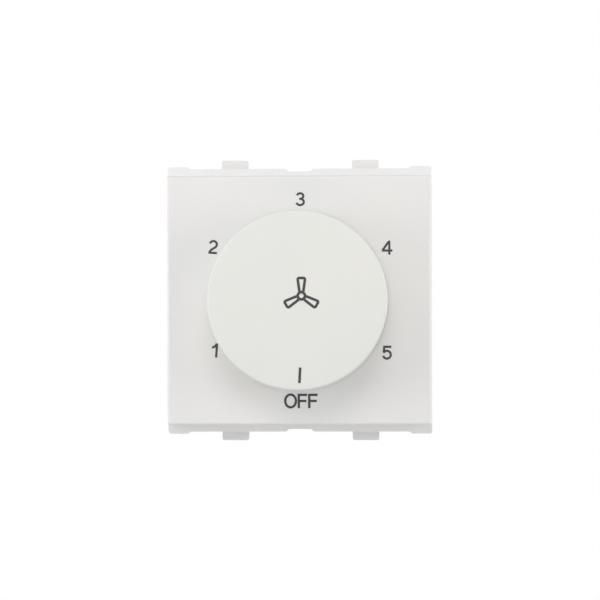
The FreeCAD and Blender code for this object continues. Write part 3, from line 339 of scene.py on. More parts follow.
TINNED_WIRE = (0.70, 0.69, 0.66)
SKIN = 0.02 * MM  # keeps a limit of the wires' pattern off the body's own faces
CAPACITOR_FEET = 1.2 * MM  # height of the feet that a capacitor's body stands on
WIRE_BAND = 0.6 * MM  # how far to each side of its middle its wires can show
BAND_STARTS = (0.08, 0.30, 0.46, 0.84)  # along a resistor's body, as shares of its length
BAND_WIDTH = 0.075
PAINTS = {
    "black": (0.02, 0.02, 0.02),
    "brown": (0.16, 0.05, 0.02),
    "red": (0.55, 0.03, 0.02),
    "yellow": (0.8, 0.55, 0.03),
    "gold": (0.62, 0.42, 0.12),
    "blue": (0.20, 0.42, 0.52),
    "buff": (0.66, 0.52, 0.34),
}
# Radius and length of the body, its ground and its bands
RESISTORS = {
    "series_resistor": (2.2 * MM, 9.0 * MM, "blue", ("yellow", "black", "black", "gold")),
    "bleed_resistor": (1.25 * MM, 6.4 * MM, "buff", ("brown", "black", "red", "gold")),
}


def leaded_part(finish, is_wire, body_tone, body_roughness):
    """Finishes a body and its tinned wires, told apart by a pattern that is 1 on the wires."""
    speckle = finish.noise(6000.0, detail=3.0)
    wire = finish.blend(finish.spread(speckle), TINNED_WIRE, shade(TINNED_WIRE, 0.8))
    finish.drive(Metallic=is_wire)
    mixed = finish.blend(is_wire, body_tone, wire)
    uneven = finish.spread(speckle, body_roughness, body_roughness + 0.12)
    return finish.done(mixed, uneven, speckle, 0.08, 0.01 * MM)


def split_place(finish, centre):
    """The outputs X, Y and Z of the place on the piece, measured from a centre."""
    return finish.node("SeparateXYZ", {"Vector": finish.centred(centre)}).outputs


def film_capacitor(name, node):
    """A blue moulded box, on two tinned wires that show between its feet."""
    low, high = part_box(node)
    body_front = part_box("circuit_board")[1].y + CAPACITOR_FEET
    finish = Finish(name, IOR=1.5)
    place = split_place(finish, (0.0, body_front, (low.z + high.z) / 2))
    in_front = finish.calc("LESS_THAN", place["Y"], -SKIN)
    across = finish.calc("ABSOLUTE", place["Z"], 0.0)
    is_wire = finish.times(in_front, finish.calc("LESS_THAN", across, WIRE_BAND))
    cloud = finish.noise(420.0, detail=3.0)
    body = finish.blend(finish.spread(cloud), (0.035, 0.10, 0.34), (0.05, 0.14, 0.42))
    return leaded_part(finish, is_wire, body, 0.28)


def banded_resistor(name, node, radius, body_length, ground, bands):
    """A lacquered body with painted bands, on tinned wires."""
    low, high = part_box(node)
    finish = Finish(name, IOR=1.5)
    centre = ((low.x + high.x) / 2, high.y - radius, (low.z + high.z) / 2)
    place = split_place(finish, centre)
    below = finish.calc("LESS_THAN", place["Y"], -radius - SKIN)
    across = finish.calc("ABSOLUTE", place["X"], 0.0)
    beyond = finish.calc("GREATER_THAN", across, body_length / 2 + SKIN / 2)
    share = finish.spread(place["X"], 0.0, 1.0, -body_length / 2, body_length / 2)
    ramp = finish.node("ValToRGB", {"Fac": share})
    ramp.color_ramp.interpolation = "CONSTANT"
    stops = ramp.color_ramp.elements
    for stop in stops:
        stop.color = (*PAINTS[ground], 1.0)
    for start, paint in zip(BAND_STARTS, bands):
        stops.new(start).color = (*PAINTS[paint], 1.0)
        stops.new(start + BAND_WIDTH).color = (*PAINTS[ground], 1.0)
    is_wire = finish.calc("MAXIMUM", below, beyond)
    return leaded_part(finish, is_wire, ramp.outputs["Color"], 0.3)


# Geometry Nodes


class Grower(NodeWork):
    """A Geometry Nodes tree with named inputs, grown into a plain mesh."""

    prefix = "GeometryNode"

    def __init__(self, name):
        super().__init__(bpy.data.node_groups.new(name, "GeometryNodeTree"))
        self.tree.is_modifier = True
        self.identifiers = {}
        for side in ("INPUT", "OUTPUT"):
            self.tree.interface.new_socket(
                "Geometry", in_out=side, socket_type="NodeSocketGeometry"
            )
        self.inside = self.node("NodeGroupInput")
        self.start = self.inside.outputs["Geometry"]
        self.material = self.input("Material", "NodeSocketMaterial")

    def input(self, name, kind="NodeSocketFloat"):
        """Adds a named input to the tree; a plain number is a distance."""
        socket = self.tree.interface.new_socket(name, in_out="INPUT", socket_type=kind)
        if kind == "NodeSocketFloat":
            socket.subtype = "DISTANCE"
        self.identifiers[name] = socket.identifier
        return self.inside.outputs[name]

    def lengths(self, *names):
        return [self.input(name) for name in names]

    def vector(self, x=0.0, y=0.0, z=0.0):
        return self.add("ShaderNodeCombineXYZ", {"X": x, "Y": y, "Z": z})

    def cube(self, *size):
        return self.add("MeshCube", {"Size": self.vector(*size)})

    def cylinder(self, vertices, radius, depth):
        return self.add("MeshCylinder", {"Vertices": vertices, "Radius": radius, "Depth": depth})

    def rotation(self, euler):
        return self.add("FunctionNodeEulerToRotation", {"Euler": euler})

    def moved(self, geometry, place, turn=(0.0, 0.0, 0.0)):
        return self.add(
            "Transform",
            {"Geometry": geometry, "Translation": place, "Rotation": self.rotation(turn)},
        )

    def around(self, piece, count, axis):
        """Like pieces at even steps round an axis, made real."""
        step = self.calc("DIVIDE", 2 * math.pi, count)
        angle = self.times(self.add("InputIndex"), step)
        rotation = self.rotation(self.vector(**{axis: angle}))
        points = self.add("Points", {"Count": count})
        return self.add("RealizeInstances", {"Geometry": self.copies(points, piece, rotation)})

    def copies(self, points, piece, rotation):
        return self.add(
            "InstanceOnPoints", {"Points": points, "Instance": piece, "Rotation": rotation}
        )

    def swept(self, path, section, caps=False):
        """A section carried along a path, without a twist."""
        level = self.add("SetCurveNormal", {"Curve": path}, mode="Z_UP")
        shapes = {"Curve": level, "Profile Curve": section, "Fill Caps": caps}
        return self.add("CurveToMesh", shapes)

    def boolean(self, operation, **meshes):
        inputs = {key.replace("_", " "): mesh for key, mesh in meshes.items()}
        return self.add("MeshBoolean", inputs, operation=operation, solver="EXACT")

    def joined(self, *meshes):
        return self.boolean("UNION", Mesh=list(meshes))

    def without(self, mesh, cutter):
        return self.boolean("DIFFERENCE", Mesh_1=mesh, Mesh_2=cutter)

    def grow(self, name, geometry, start, material, smooth_angle=35.0, **values):
        """Closes the tree and grows it on a start mesh; values are named as the inputs."""
        real = self.add("RealizeInstances", {"Geometry": geometry})
        painted = self.add("SetMaterial", {"Geometry": real, "Material": self.material})
        self.node("NodeGroupOutput", {"Geometry": painted})
        item = linked(bpy.data.objects.new(name, start))
        modifier = item.modifiers.new(self.tree.name, "NODES")
        modifier.node_group = self.tree
        modifier[self.identifiers["Material"]] = material
        for key, value in values.items():
            modifier[self.identifiers[key.replace("_", " ").capitalize()]] = value
        mesh = evaluated_mesh(item)
        if not mesh.polygons:
            raise RuntimeError(f"{name} grew no faces")
        item.modifiers.clear()
        bm = bmesh.new()
        bm.from_mesh(mesh)
        bmesh.ops.remove_doubles(bm, verts=bm.verts, dist=MERGE)
        bmesh.ops.dissolve_degenerate(bm, edges=bm.edges, dist=MERGE)
        bpy.data.objects.remove(item)
        return object_from(name, bm, material, smooth_angle)


# Meshes


def linked(item):
    bpy.context.scene.collection.objects.link(item)
    return item


def evaluated_mesh(item):
    """A new mesh of an object with its modifiers applied."""
    depsgraph = bpy.context.evaluated_depsgraph_get()
    return bpy.data.meshes.new_from_object(item.evaluated_get(depsgraph))


def object_from(name, bm, material, smooth_angle=35.0):
    """A finished object from a bmesh: smooth but for its sharp edges, with one material."""
    mesh = bpy.data.meshes.new(name)
    bm.to_mesh(mesh)
    bm.free()
    mesh.materials.clear()
    mesh.materials.append(material)
    mesh.shade_smooth()
    mesh.set_sharp_from_angle(angle=math.radians(smooth_angle))
    return linked(bpy.data.objects.new(name, mesh))


def lathe(profile, segments):
    """A closed solid turned about Y from (radius, place along the axis) pairs."""
    bm = bmesh.new()
    rings = []
    for radius, along in profile:
        if radius == 0.0:
            rings.append([bm.verts.new((0.0, along, 0.0))])
            continue
        angles = [2 * math.pi * i / segments for i in range(segments)]
        rings.append(
            [bm.verts.new((radius * math.cos(a), along, radius * math.sin(a))) for a in angles]
        )
    for here, following in zip(rings, rings[1:]):
        for k in range(segments):
            n = (k + 1) % segments
            if len(here) == 1:
                bm.faces.new([here[0], following[n], following[k]])
            elif len(following) == 1:
                bm.faces.new([here[k], here[n], following[0]])
            else:
                bm.faces.new([here[k], here[n], following[n], following[k]])
    bmesh.ops.recalc_face_normals(bm, faces=bm.faces)
    return bm


def arc(centre, radius, start, end, steps):
    """Points of an arc in a plane, in degrees; two radii make an oval one."""
    wide, tall = radius if isinstance(radius, tuple) else (radius, radius)
    points = []
    for i in range(steps + 1):
        angle = math.radians(start + (end - start) * i / steps)
        points.append((centre[0] + wide * math.cos(angle), centre[1] + tall * math.sin(angle)))
    return points


def curve(start, first, second, end, steps):
    """Points of a smooth curve with two handles."""
    return [tuple(p) for p in interpolate_bezier(start, first, second, end, steps)]


MITRE_LIMIT = 0.5  # a corner's mitre reaches at most twice the distance to the side


def beside(path, distance):
    """The line that runs beside an open path, on its left, with mitred corners."""
    points = [Vector(p) for p in path]
    runs = [(b - a).normalized() for a, b in zip(points, points[1:])]
    result = []
    for i, here in enumerate(points):
        come = runs[max(i - 1, 0)]
        go = runs[min(i, len(runs) - 1)]
        side = Vector((-come.y, come.x))
        middle = (side + Vector((-go.y, go.x))).normalized()
        result.append(here + middle * (distance / max(MITRE_LIMIT, middle.dot(side))))
    return result


def stroke_outline(path, width):
    """The closed outline of a pen stroke along an open path."""
    return beside(path, width / 2) + beside(path, -width / 2)[::-1]


def prism(outline, front, back):
    """A closed flat prism on an outline seen from the front, between two depths."""
    bm = bmesh.new()
    near = [bm.verts.new((x, front, z)) for x, z in outline]
    far = [bm.verts.new((x, back, z)) for x, z in outline]
    bm.faces.new(near)
    bm.faces.new(far[::-1])
    count = len(outline)
    for i in range(count):
        n = (i + 1) % count
        bm.faces.new([near[n], near[i], far[i], far[n]])
    bmesh.ops.recalc_face_normals(bm, faces=bm.faces)
    return bm


def fused(name, solids, material):
    """One closed mesh from overlapping solids."""
    parts = [object_from(f"{name}_part", solid, material) for solid in solids]
    whole = parts[0]
    for other in parts[1:]:
        union = whole.modifiers.new("union", "BOOLEAN")
        union.operation = "UNION"
        union.solver = "EXACT"
        union.object = other
    mesh = evaluated_mesh(whole)
    for part in parts:
        bpy.data.objects.remove(part)
    mesh.name = name
    return linked(bpy.data.objects.new(name, mesh))


def node_copy(node):
    """A merged copy of a node's loose triangles, with its flat faces whole."""
    bm = bmesh.new()
    bm.from_mesh(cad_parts[node].data)
    bmesh.ops.remove_doubles(bm, verts=bm.verts, dist=MERGE)
    bmesh.ops.dissolve_limit(
        bm, angle_limit=FLAT_ANGLE, verts=bm.verts, edges=bm.edges, delimit={"NORMAL"}
    )
    return bm


def refined_copy(node, name, material, edge_break):
    """A copy of a node with a small round on its sharp edges."""
    bm = node_copy(node)
    sharp = [e for e in bm.edges if e.is_manifold and e.calc_face_angle(0.0) > SHARP_ANGLE]
    bmesh.ops.bevel(
        bm, geom=sharp, offset=edge_break, offset_type="OFFSET", segments=2,
        profile=0.5, affect="EDGES", clamp_overlap=True,
    )
    bmesh.ops.triangulate(bm, faces=bm.faces)
    item = object_from(name, bm, material, smooth_angle=28.0)
    # Flat faces keep their own normals, so only the small rounds look round
    item.modifiers.new("weighted", "WEIGHTED_NORMAL").keep_sharp = True
    item.data = evaluated_mesh(item)
    item.modifiers.clear()
    return item


def solid_boxes(node):
    """The lowest and highest corners of each solid in a node, ordered by place."""
    bm = node_copy(node)
    waiting = set(bm.verts)
    boxes = []
    while waiting:
        reached = [waiting.pop()]
        for vertex in reached:
            for edge in vertex.link_edges:
                other = edge.other_vert(vertex)
                if other in waiting:
                    waiting.remove(other)
                    reached.append(other)
        places = [v.co for v in reached]
        low = Vector([min(p[i] for p in places) for i in range(3)])
        high = Vector([max(p[i] for p in places) for i in range(3)])
        boxes.append((low, high))
    bm.free()
    return sorted(boxes, key=lambda box: [round(c / MM, 1) for c in box[0]])


def dressed(item, body, slot, *replaced):
    """Gives a finished piece its body and hides the nodes that it stands for; the slot is not
    used.
    """
    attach(item, body)
    if replaced:
        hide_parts(*replaced)
    return item


# The printed scale, in millimetres, each sign about its own middle


def sign_paths(height, stroke):
    """The pen strokes of the numbers and letters, for a height with the stroke in it."""
    top = height / 2
    h = top - stroke / 2
    o = stroke / 2
    return {
        "1": [
            [(0.30, top), (0.30, -top)],
            curve((-0.52, 0.48), (-0.24, 0.50), (0.10, 0.66), (0.22, top - 0.06), 8),
        ],
        "2": [
            arc((0.0, h - 0.57), (0.585, 0.57), 170, -36, 22)
            + curve((0.473, h - 0.905), (0.26, -0.22), (-0.46, -0.42), (-0.57, -h), 10)[1:],
            [(-0.57 - o, -h), (0.72, -h)],
        ],
        "3": [
            arc((-0.03, h - 0.475), (0.54, 0.475), 166, -90, 24) + [(-0.2, h - 0.95)],
            [(-0.2, h - 0.95)] + arc((-0.04, 0.53 - h), (0.63, 0.53), 90, -166, 26),
        ],
        "4": [
            [(0.34, top), (0.34, -top)],
            [(-0.90, -0.48), (0.87, -0.48)],
            [(-0.80, -0.42), (0.24, h + 0.03)],
        ],
        "5": [
            [(-0.46 - o, h), (0.72, h)],
            [(-0.46, h), (-0.58, 0.0)],
            arc((-0.03, -h + 0.66), (0.66, 0.66), 150, -162, 26),
        ],
        "O": [
            arc((0.0, 0.0), (0.91, h + 0.05), 80, 280, 28),
            arc((0.0, 0.0), (0.91, h + 0.05), 260, 460, 28),
        ],
        "F": [
            [(-0.57, top), (-0.57, -top)],
            [(-0.57 - o, h), (0.84, h)],
            [(-0.57, 0.0), (0.71, 0.0)],
        ],
    }


def printed_sign(name, strokes, width, place, lean, depths, ink):
    """One sign: its pen strokes leaned, placed and fused into one film of ink."""
    turn = Matrix.Rotation(math.radians(lean), 2)
    solids = []
    for path in strokes:
        outline = [(turn @ p + Vector(place)) * MM for p in stroke_outline(path, width)]
        solids.append(prism(outline, *depths))
    return fused(name, solids, ink)


# Each sign's place in millimetres from the plate's middle, seen from the front, and its lean
OFF_HEIGHT = -17.12
NUMBERS = {
    "scale_1": ("1", -14.34, -8.51, -4.0),
    "scale_2": ("2", -14.56, 9.10, -5.0),
    "scale_3": ("3", 0.30, 17.16, 0.0),
    "scale_4": ("4", 15.04, 8.86, 0.0),
    "scale_5": ("5", 14.95, -8.95, 0.0),
}
LETTERS = {
    "off_o": ("O", -1.46, OFF_HEIGHT, 0.0),
    "off_f1": ("F", 0.51, OFF_HEIGHT, 0.0),
    "off_f2": ("F", 2.29, OFF_HEIGHT, 0.0),
}
POINTER_PLACE = (0.43, -12.47)
POINTER_LEAN = -3.0
FAN_PLACE = (0.73, 0.73)
BLADE_FILM = 0.94  # of the ring's thickness, so that no two faces lie in one plane


# Pieces


class SWITCH_OT_white_mouldings(bpy.types.Operator):
    """Dresses the front plate and the case in white moulded plastic"""

    bl_idname = "switch.white_mouldings"
    bl_label = "White mouldings"

    def execute(self, context):
        look = context.scene.switch_moulding
        for node, name, slot, tone in (
            ("front_plate", "cover_plate", "white_cover", look.cover_colour),
            ("housing", "case_moulding", "white_case", look.case_colour),
        ):
            plastic = moulded_plastic(slot, tone, look.roughness)
            dressed(refined_copy(node, name, plastic, look.edge_break), "case", slot, node)
        return {"FINISHED"}


KNOB_SEGMENTS = 192
FACE_RING = 0.6  # radius of a ring that divides the knob's face, as a share of the face's
RIM_ROUND = 0.1 * MM
BORE_SEGMENTS = 64
FLAT_CUTTER = 2.2  # width of the bore flat's cutter, in bore radii
BORE_PAST = 1.0 * MM  # how far the bore's cutter reaches past the hub's end


class SWITCH_OT_knob(bpy.types.Operator):
    """Turns the knob's cap and hub, sets the ribs in it and cuts the D-shaped bore"""

    bl_idname = "switch.knob"
    bl_label = "Knob"

    def execute(self, context):
        look = context.scene.switch_moulding
        sizes = context.scene.switch_knob
        plastic = moulded_plastic("white_knob", look.knob_colour, look.roughness)
        front = KNOB_FRONT + sizes.face_recess
        rim = KNOB_FRONT + sizes.skirt_height
        front_radius = KNOB_RADIUS - sizes.taper
        ceiling = KNOB_FRONT + sizes.wall
        rounding = sizes.edge_round
        profile = [(0.0, front), (front_radius * FACE_RING, front)]
        profile += arc((front_radius - rounding, front + rounding), rounding, -90, 0, 12)
        profile += arc((KNOB_RADIUS - RIM_ROUND, rim - RIM_ROUND), RIM_ROUND, 0, 90, 3)
        profile += [
            (KNOB_RADIUS - sizes.wall, rim),
            (front_radius - sizes.wall, ceiling),
            (sizes.hub_radius, ceiling),
            (sizes.hub_radius, HUB_REAR),
            (0.0, HUB_REAR),
        ]
        cap = bpy.data.meshes.new("knob_cap_blank")
        blank = lathe(profile, KNOB_SEGMENTS)
        blank.to_mesh(cap)
        blank.free()
        knob = self.ribbed(cap, sizes, plastic, ceiling, front_radius)
        dressed(knob, "knob_turn_set", "white_knob", "knob")
        return {"FINISHED"}

    def ribbed(self, cap, sizes, plastic, ceiling, front_radius):
        """The knob's cap with ribs from its hub to its wall, and a bore with a flat."""
        grower = Grower("ribbed_knob")
        count = grower.input("Ribs", "NodeSocketInt")
        start, end, width, height, root = grower.lengths(
            "Rib start", "Rib end", "Rib width", "Rib height", "Rib root"
        )
        bore_radius, bore_flat, bore_start, bore_end = grower.lengths(
            "Bore radius", "Bore flat", "Bore start", "Bore end"
        )
        rib = grower.cube(grower.less(end, start), height, width)
        middle = grower.times(grower.plus(start, end), 0.5)
        depth = grower.plus(root, grower.times(height, 0.5))
        ribs = grower.around(grower.moved(rib, grower.vector(middle, depth)), count, "y")
        bore_length = grower.less(bore_end, bore_start)
        bore_middle = grower.times(grower.plus(bore_start, bore_end), 0.5)
        rod = grower.cylinder(BORE_SEGMENTS, bore_radius, bore_length)
        rod = grower.moved(rod, grower.vector(y=bore_middle), (math.pi / 2, 0.0, 0.0))
        slab_width = grower.times(bore_radius, FLAT_CUTTER)
        slab = grower.cube(slab_width, grower.times(bore_length, 2.0), slab_width)
        drop = grower.plus(bore_flat, grower.times(slab_width, 0.5))
        below = grower.vector(0.0, bore_middle, grower.times(drop, -1.0))
        bore = grower.without(rod, grower.moved(slab, below))
        body = grower.without(grower.joined(grower.start, ribs), bore)
        overlap = sizes.wall / 2
        return grower.grow(
            "knob_cap", body, cap, plastic,
            ribs=sizes.ribs,
            rib_start=sizes.hub_radius - overlap,
            rib_end=front_radius - overlap,
            rib_width=sizes.rib_width,
            rib_height=sizes.rib_height + overlap,
            rib_root=ceiling - overlap,
            bore_radius=sizes.bore_radius,
            bore_flat=sizes.bore_flat,
            bore_start=SHAFT_FRONT - sizes.bore_gap,
            bore_end=HUB_REAR + BORE_PAST,
        )


class SWITCH_OT_scale_print(bpy.types.Operator):
    """Prints the numbers 1 to 5 and OFF round the knob, and the pointer on the knob"""

    bl_idname = "switch.scale_print"
    bl_label = "Printed scale"

    def execute(self, context):
        look = context.scene.switch_print
        ink = printed_ink("dark_ink", look.ink_colour)
        depths = (PLATE_FRONT - look.thickness, PLATE_FRONT + look.thickness)
        for height, stroke, signs in (
            (look.digit_height, look.stroke / MM, NUMBERS),
            (look.letter_height, look.letter_stroke / MM, LETTERS),
        ):
            paths = sign_paths(height / MM, stroke)
            for name, (sign, x, z, lean) in signs.items():
                item = printed_sign(name, paths[sign], stroke, (x, z), lean, depths, ink)
                dressed(item, "case", None)
        half = look.pointer_length / MM / 2
        depths = (KNOB_FRONT, KNOB_FRONT + 2 * look.thickness)
        line = [[(0.0, half), (0.0, -half)]]
        width = look.pointer_width / MM
        pointer = printed_sign(
            "pointer_line", line, width, POINTER_PLACE, POINTER_LEAN, depths, ink
        )
        dressed(pointer, "knob_turn_set", None)
        return {"FINISHED"}


class SWITCH_OT_fan_sign(bpy.types.Operator):
    """Prints the fan sign on the knob: outlined blades round a hub ring"""

    bl_idname = "switch.fan_sign"
    bl_label = "Fan sign"

    def execute(self, context):
        sizes = context.scene.switch_fan_sign
        look = context.scene.switch_print
        grower = Grower("fan_sign")
        blades = grower.input("Blades", "NodeSocketInt")
        hub, start, end, root, tip, corner, stroke, thickness = grower.lengths(
            "Hub radius", "Blade start", "Blade end", "Root width", "Tip width",
            "Corner radius", "Stroke", "Thickness",
        )
        sides = [(root, -0.5, start), (tip, -0.5, end), (tip, 0.5, end), (root, 0.5, start)]
        corners = {}
        for number, (width, side, along) in enumerate(sides, start=1):
            corners[f"Point {number}"] = grower.vector(grower.times(width, side), along)
        outline = grower.add("CurvePrimitiveQuadrilateral", corners, mode="POINTS")
        outline = grower.add(
            "FilletCurve",
            {"Curve": outline, "Count": 5, "Radius": corner, "Limit Radius": True},
            mode="POLY",
        )
        ring = grower.add("CurvePrimitiveCircle", {"Resolution": 48, "Radius": hub})
        lines = []
        for path, share in ((outline, BLADE_FILM), (ring, 1.0)):
            size = {"Width": stroke, "Height": grower.times(thickness, share)}
            section = grower.add("CurvePrimitiveQuadrilateral", size)
            lines.append(grower.swept(path, section))
        sign = grower.joined(grower.around(lines[0], blades, "z"), lines[1])
        depth = KNOB_FRONT + look.thickness
        place = (FAN_PLACE[0] * MM, depth, FAN_PLACE[1] * MM)
        sign = grower.moved(sign, place, (math.pi / 2, 0.0, 0.0))
        item = grower.grow(
            "fan_sign", sign, bpy.data.meshes.new("fan_sign_start"),
            printed_ink("fan_ink", look.ink_colour), thickness=2 * look.thickness,
            **{key: getattr(sizes, key) for key in FanSignSizes.__annotations__},
        )
        dressed(item, "knob_turn_set", None)
        return {"FINISHED"}


# A screw's proportions: the thread's in ridges, the head's in its own height or radius
RIDGE = 0.40  # a ridge's radius, in pitches
CORE_DEPTH = 1.3  # from the thread's outside to the core
THREAD_SHORT = 2.4  # how much shorter than the shank the thread is
THREAD_START = 1.1  # from the shank's end to the thread
HEAD_STRAIGHT = 0.7
HEAD_TOP = 0.86
CUTTER_LENGTH = 2.2
ROD_OVERLAP = 0.2 * MM  # how far the rod reaches into the head
ROD_SEGMENTS = 40
HEAD_SEGMENTS = 56


class SWITCH_OT_screws(bpy.types.Operator):
    """Makes the slotted screws: four in the carrier, two in the board, one in each terminal"""

    bl_idname = "switch.screws"
    bl_label = "Screws"

    def execute(self, context):
        sizes = context.scene.switch_screws
        zinc = worked_metal("zinc_plate", (0.66, 0.66, 0.64), 0.28, scale=3000.0)
        small, clamp = (
            [getattr(sizes, f"{kind}_{key}") for key in
             ("shank", "head", "head_height", "slot", "pitch")]
            for kind in ("small", "clamp")
        )
        groups = [
            ("carrier_screws", "case", small, False),
            ("board_screws", "case", small, True),
            ("line_terminal_screw", "line_screw", clamp, True),
            ("load_terminal_screw", "load_screw", clamp, True),
        ]
        for seed, (node, body, shape, head_behind) in enumerate(groups):
            item = self.screws(node, shape, head_behind, zinc, seed)
            dressed(item, body, "plated_steel", node)
        return {"FINISHED"}

    def screws(self, node, shape, head_behind, material, seed):
        """All screws of one node in one piece, each where its solid is."""
        shank, head, head_height, slot, pitch = shape
        seats = bpy.data.meshes.new(f"{node}_seats")
        places = []
        for low, high in solid_boxes(node):
            seat = high.y - head_height if head_behind else low.y + head_height
            reach = seat - low.y if head_behind else high.y - seat
            places.append(((low.x + high.x) / 2, seat, (low.z + high.z) / 2))
        seats.from_pydata(places, [], [])
        grower, body = self.slotted_screw()
        facing = -math.pi / 2 if head_behind else math.pi / 2
        return grower.grow(
            f"{node}_threaded", body, seats, material, smooth_angle=30.0,
            shank_radius=shank, shank_length=reach, head_radius=head, head_height=head_height,
            slot_size=slot, thread_pitch=pitch, facing=facing, seed=seed,
        )

    def slotted_screw(self):
        """A screw along Z with its seat at the origin, set on each point and turned at random."""
        grower = Grower("slotted_screw")
        shank, reach, head, height, slot, pitch = grower.lengths(
            "Shank radius", "Shank length", "Head radius", "Head height", "Slot size",
            "Thread pitch",
        )
        facing = grower.input("Facing")
        seed = grower.input("Seed", "NodeSocketInt")
        ridge = grower.times(pitch, RIDGE)
        core = grower.less(shank, grower.times(ridge, CORE_DEPTH))
        rod = grower.cylinder(ROD_SEGMENTS, core, grower.plus(reach, ROD_OVERLAP))
        rod_middle = grower.times(grower.less(ROD_OVERLAP, reach), 0.5)
        rod = grower.moved(rod, grower.vector(z=rod_middle))
        thread_length = grower.less(reach, grower.times(ridge, THREAD_SHORT))
        radius = grower.less(shank, ridge)
        helix = grower.add(
            "CurveSpiral",
            {
                "Resolution": 32, "Rotations": grower.calc("DIVIDE", thread_length, pitch),
                "Start Radius": radius, "End Radius": radius, "Height": thread_length,
            },
        )
        tooth = grower.add("CurvePrimitiveCircle", {"Resolution": 3, "Radius": ridge})
        lowered = grower.less(grower.times(ridge, THREAD_START), reach)
        thread = grower.swept(helix, tooth, caps=True)
        thread = grower.moved(thread, grower.vector(z=lowered))
        straight = grower.times(height, HEAD_STRAIGHT)
        drum = grower.cylinder(HEAD_SEGMENTS, head, straight)
        drum = grower.moved(drum, grower.vector(z=grower.times(straight, 0.5)))
        crown = grower.add(
            "MeshCone",
            {
                "Vertices": HEAD_SEGMENTS, "Radius Top": grower.times(head, HEAD_TOP),
                "Radius Bottom": head, "Depth": grower.less(height, straight),
            },
        )
        crown = grower.moved(crown, grower.vector(z=straight))
        cutter_length = grower.times(head, CUTTER_LENGTH)
        cutter = grower.cube(cutter_length, slot, grower.times(slot, 2.0))
        cutter = grower.moved(cutter, grower.vector(z=height))
        blank = grower.joined(drum, crown, rod)
        screw = grower.joined(grower.without(blank, cutter), thread)
        copies = grower.copies(grower.start, screw, grower.rotation(grower.vector(x=facing)))
        turn = grower.add(
            "FunctionNodeRandomValue", {"Min": 0.0, "Max": math.pi, "Seed": seed},
            data_type="FLOAT",
        )
        spin = grower.rotation(grower.vector(z=turn))
        copies = grower.add(
            "RotateInstances", {"Instances": copies, "Rotation": spin, "Local Space": True}
        )
        return grower, copies


class SWITCH_OT_inner_parts(bpy.types.Operator):
    """Gives every inner part that keeps its own shape its finish"""

    bl_idname = "switch.inner_parts"
    bl_label = "Inner parts"

    def execute(self, context):
        nylon = moulded_plastic("ivory_nylon", (0.74, 0.69, 0.56), 0.42, 5000.0, 0.16, 0.03)
        dark = moulded_plastic("black_nylon", (0.022, 0.022, 0.024), 0.38, 6000.0, 0.18, 0.06)
        spring = worked_metal("spring_steel", (0.56, 0.56, 0.57), 0.24, (0.06, 1.0, 1.0))
        bronze = worked_metal("phosphor_bronze", (0.66, 0.40, 0.22), 0.30, (1.0, 1.0, 0.06))
        silver = worked_metal("silver_contact", (0.78, 0.77, 0.74), 0.26, scale=3200.0)
        brass = worked_metal("terminal_brass", (0.72, 0.55, 0.24), 0.26, (1.0, 0.05, 1.0))
        finishes = {
            "switch_carrier": nylon,
            "rotor": dark,
            "detent_spring": spring,
            "knob_spring_clip": spring,
            "wiper_contact": bronze,
            "common_ring": silver,
            "circuit_board": phenolic_board("phenolic_board"),
            "line_terminal": brass,
            "load_terminal": brass,
        }
        for speed in range(1, 6):
            finishes[f"contact_stud_{speed}"] = silver
        for size in ("large", "small"):
            node = f"speed_capacitor_{size}"
            finishes[node] = film_capacitor(f"blue_film_{size}", node)
        for kind, body in RESISTORS.items():
            for number in (1, 2):
                node = f"{kind}_{number}"
                finishes[node] = banded_resistor(f"{node}_paint", node, *body)
        for node, finish in finishes.items():
            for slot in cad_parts[node].material_slots:
                slot.material = finish
        return {"FINISHED"}


FLOOR_RADIUS = 0.31
FLOOR_DROP = 0.1
# Each soft light's place and width in metres, and the property that holds its power
SOFT_LIGHTS = {
    "left_light": ((-0.5, -0.2, 0.05), 0.35, "left_power"),
    "high_light": ((-0.45, -0.45, 0.45), 0.4, "high_power"),
    "right_light": ((0.5, -0.2, 0.05), 0.35, "right_power"),
    "near_light": ((0.0, -0.22, 0.16), 0.15, "near_power"),
    "back_left_light": ((-0.4, 0.65, 0.12), 0.3, "back_power"),
    "back_right_light": ((0.55, 0.5, 0.06), 0.3, "back_power"),
}


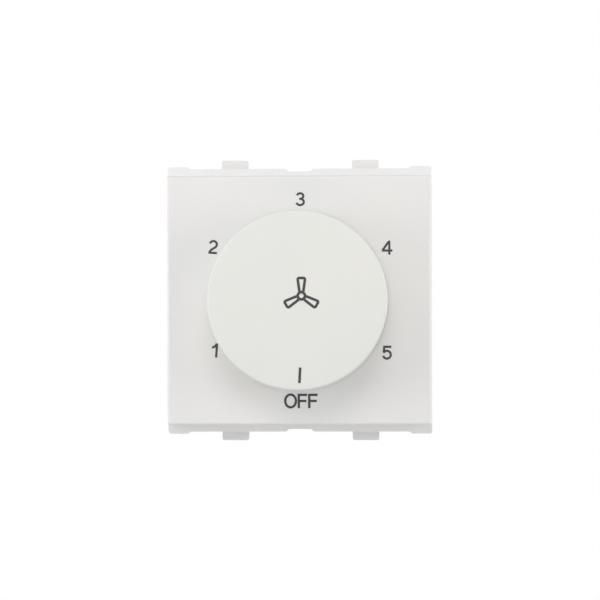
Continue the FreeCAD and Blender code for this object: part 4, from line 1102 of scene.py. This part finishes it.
class SWITCH_OT_studio(bpy.types.Operator):
    """Sets the floor, the soft lights and the camera"""

    bl_idname = "switch.studio"
    bl_label = "Studio"

    def execute(self, context):
        look = context.scene.switch_studio
        bm = bmesh.new()
        bmesh.ops.create_circle(bm, cap_ends=True, segments=96, radius=FLOOR_RADIUS)
        bmesh.ops.translate(bm, verts=bm.verts, vec=(0, 0, -FLOOR_DROP))
        finish = Finish("pale_floor", Base_Color=(0.86, 0.86, 0.86, 1.0), Roughness=0.8)
        object_from("floor", bm, finish.material)
        context.scene.world = self.soft_white(look.ambient)
        for name, (place, width, key) in SOFT_LIGHTS.items():
            self.soft_light(name, place, width, getattr(look, key))
        context.scene.camera = self.camera(look)
        context.scene.view_settings.view_transform = "Standard"
        return {"FINISHED"}

    def soft_white(self, ambient):
        """A world that looks white, also in gloss, and lights the part as much as is asked."""
        world = bpy.data.worlds.new("soft_white")
        world.use_nodes = True
        work = NodeWork(world.node_tree)
        ray = work.node("LightPath").outputs
        seen = work.calc("MAXIMUM", ray["Is Camera Ray"], ray["Is Glossy Ray"])
        mix = work.node("MixShader", {"Fac": seen})
        for place, strength in enumerate((ambient, 1.0), start=1):
            white = {"Color": (1.0, 1.0, 1.0, 1.0), "Strength": strength}
            work.link(work.add("Background", white), mix.inputs[place])
        work.node("OutputWorld", {"Surface": mix.outputs["Shader"]})
        return world

    def soft_light(self, name, place, width, watts):
        """A round light that points at the part."""
        data = bpy.data.lights.new(name, "AREA")
        data.shape = "DISK"
        data.size = width
        data.energy = watts
        light = linked(bpy.data.objects.new(name, data))
        light.visible_camera = False
        light.location = place
        light.rotation_euler = (-Vector(place)).to_track_quat("-Z", "Y").to_euler()

    def camera(self, look):
        """A camera level with the plate, a little to its right."""
        aim = Vector((look.aim_right, PLATE_FRONT, look.aim_up))
        back = Vector((math.sin(look.yaw), -math.cos(look.yaw), 0.0))
        lens = bpy.data.cameras.new("camera")
        lens.lens = look.lens
        lens.sensor_width = 36.0
        camera = linked(bpy.data.objects.new("camera", lens))
        camera.location = aim + back * look.distance
        level = (-back).to_track_quat("-Z", "Y").to_matrix()
        camera.rotation_euler = (level @ Matrix.Rotation(-look.roll, 3, "Z")).to_euler()
        return camera


OPERATORS = [
    SWITCH_OT_white_mouldings,
    SWITCH_OT_knob,
    SWITCH_OT_scale_print,
    SWITCH_OT_fan_sign,
    SWITCH_OT_screws,
    SWITCH_OT_inner_parts,
    SWITCH_OT_studio,
]


class SWITCH_PT_pieces(bpy.types.Panel):
    """Lists the pieces of the switch, with their sizes and colours"""

    bl_idname = "SWITCH_PT_pieces"
    bl_label = "Fan speed switch"
    bl_space_type = "VIEW_3D"
    bl_region_type = "UI"
    bl_category = "Fan switch"

    def draw(self, context):
        for operator in OPERATORS:
            self.layout.operator(operator.bl_idname)
        for name, group in PROPERTY_GROUPS.items():
            box = self.layout.box()
            for key in group.__annotations__:
                box.prop(getattr(context.scene, name), key)


def register():
    for group in PROPERTY_GROUPS.values():
        bpy.utils.register_class(group)
    for operator in OPERATORS:
        bpy.utils.register_class(operator)
    bpy.utils.register_class(SWITCH_PT_pieces)
    for name, group in PROPERTY_GROUPS.items():
        setattr(bpy.types.Scene, name, PointerProperty(type=group))


def unregister():
    for name in PROPERTY_GROUPS:
        delattr(bpy.types.Scene, name)
    bpy.utils.unregister_class(SWITCH_PT_pieces)
    for operator in reversed(OPERATORS):
        bpy.utils.unregister_class(operator)
    for group in reversed(PROPERTY_GROUPS.values()):
        bpy.utils.unregister_class(group)


def main():
    register()
    for operator in OPERATORS:
        group, name = operator.bl_idname.split(".")
        getattr(getattr(bpy.ops, group), name)()


if __name__ == "__main__":
    main()
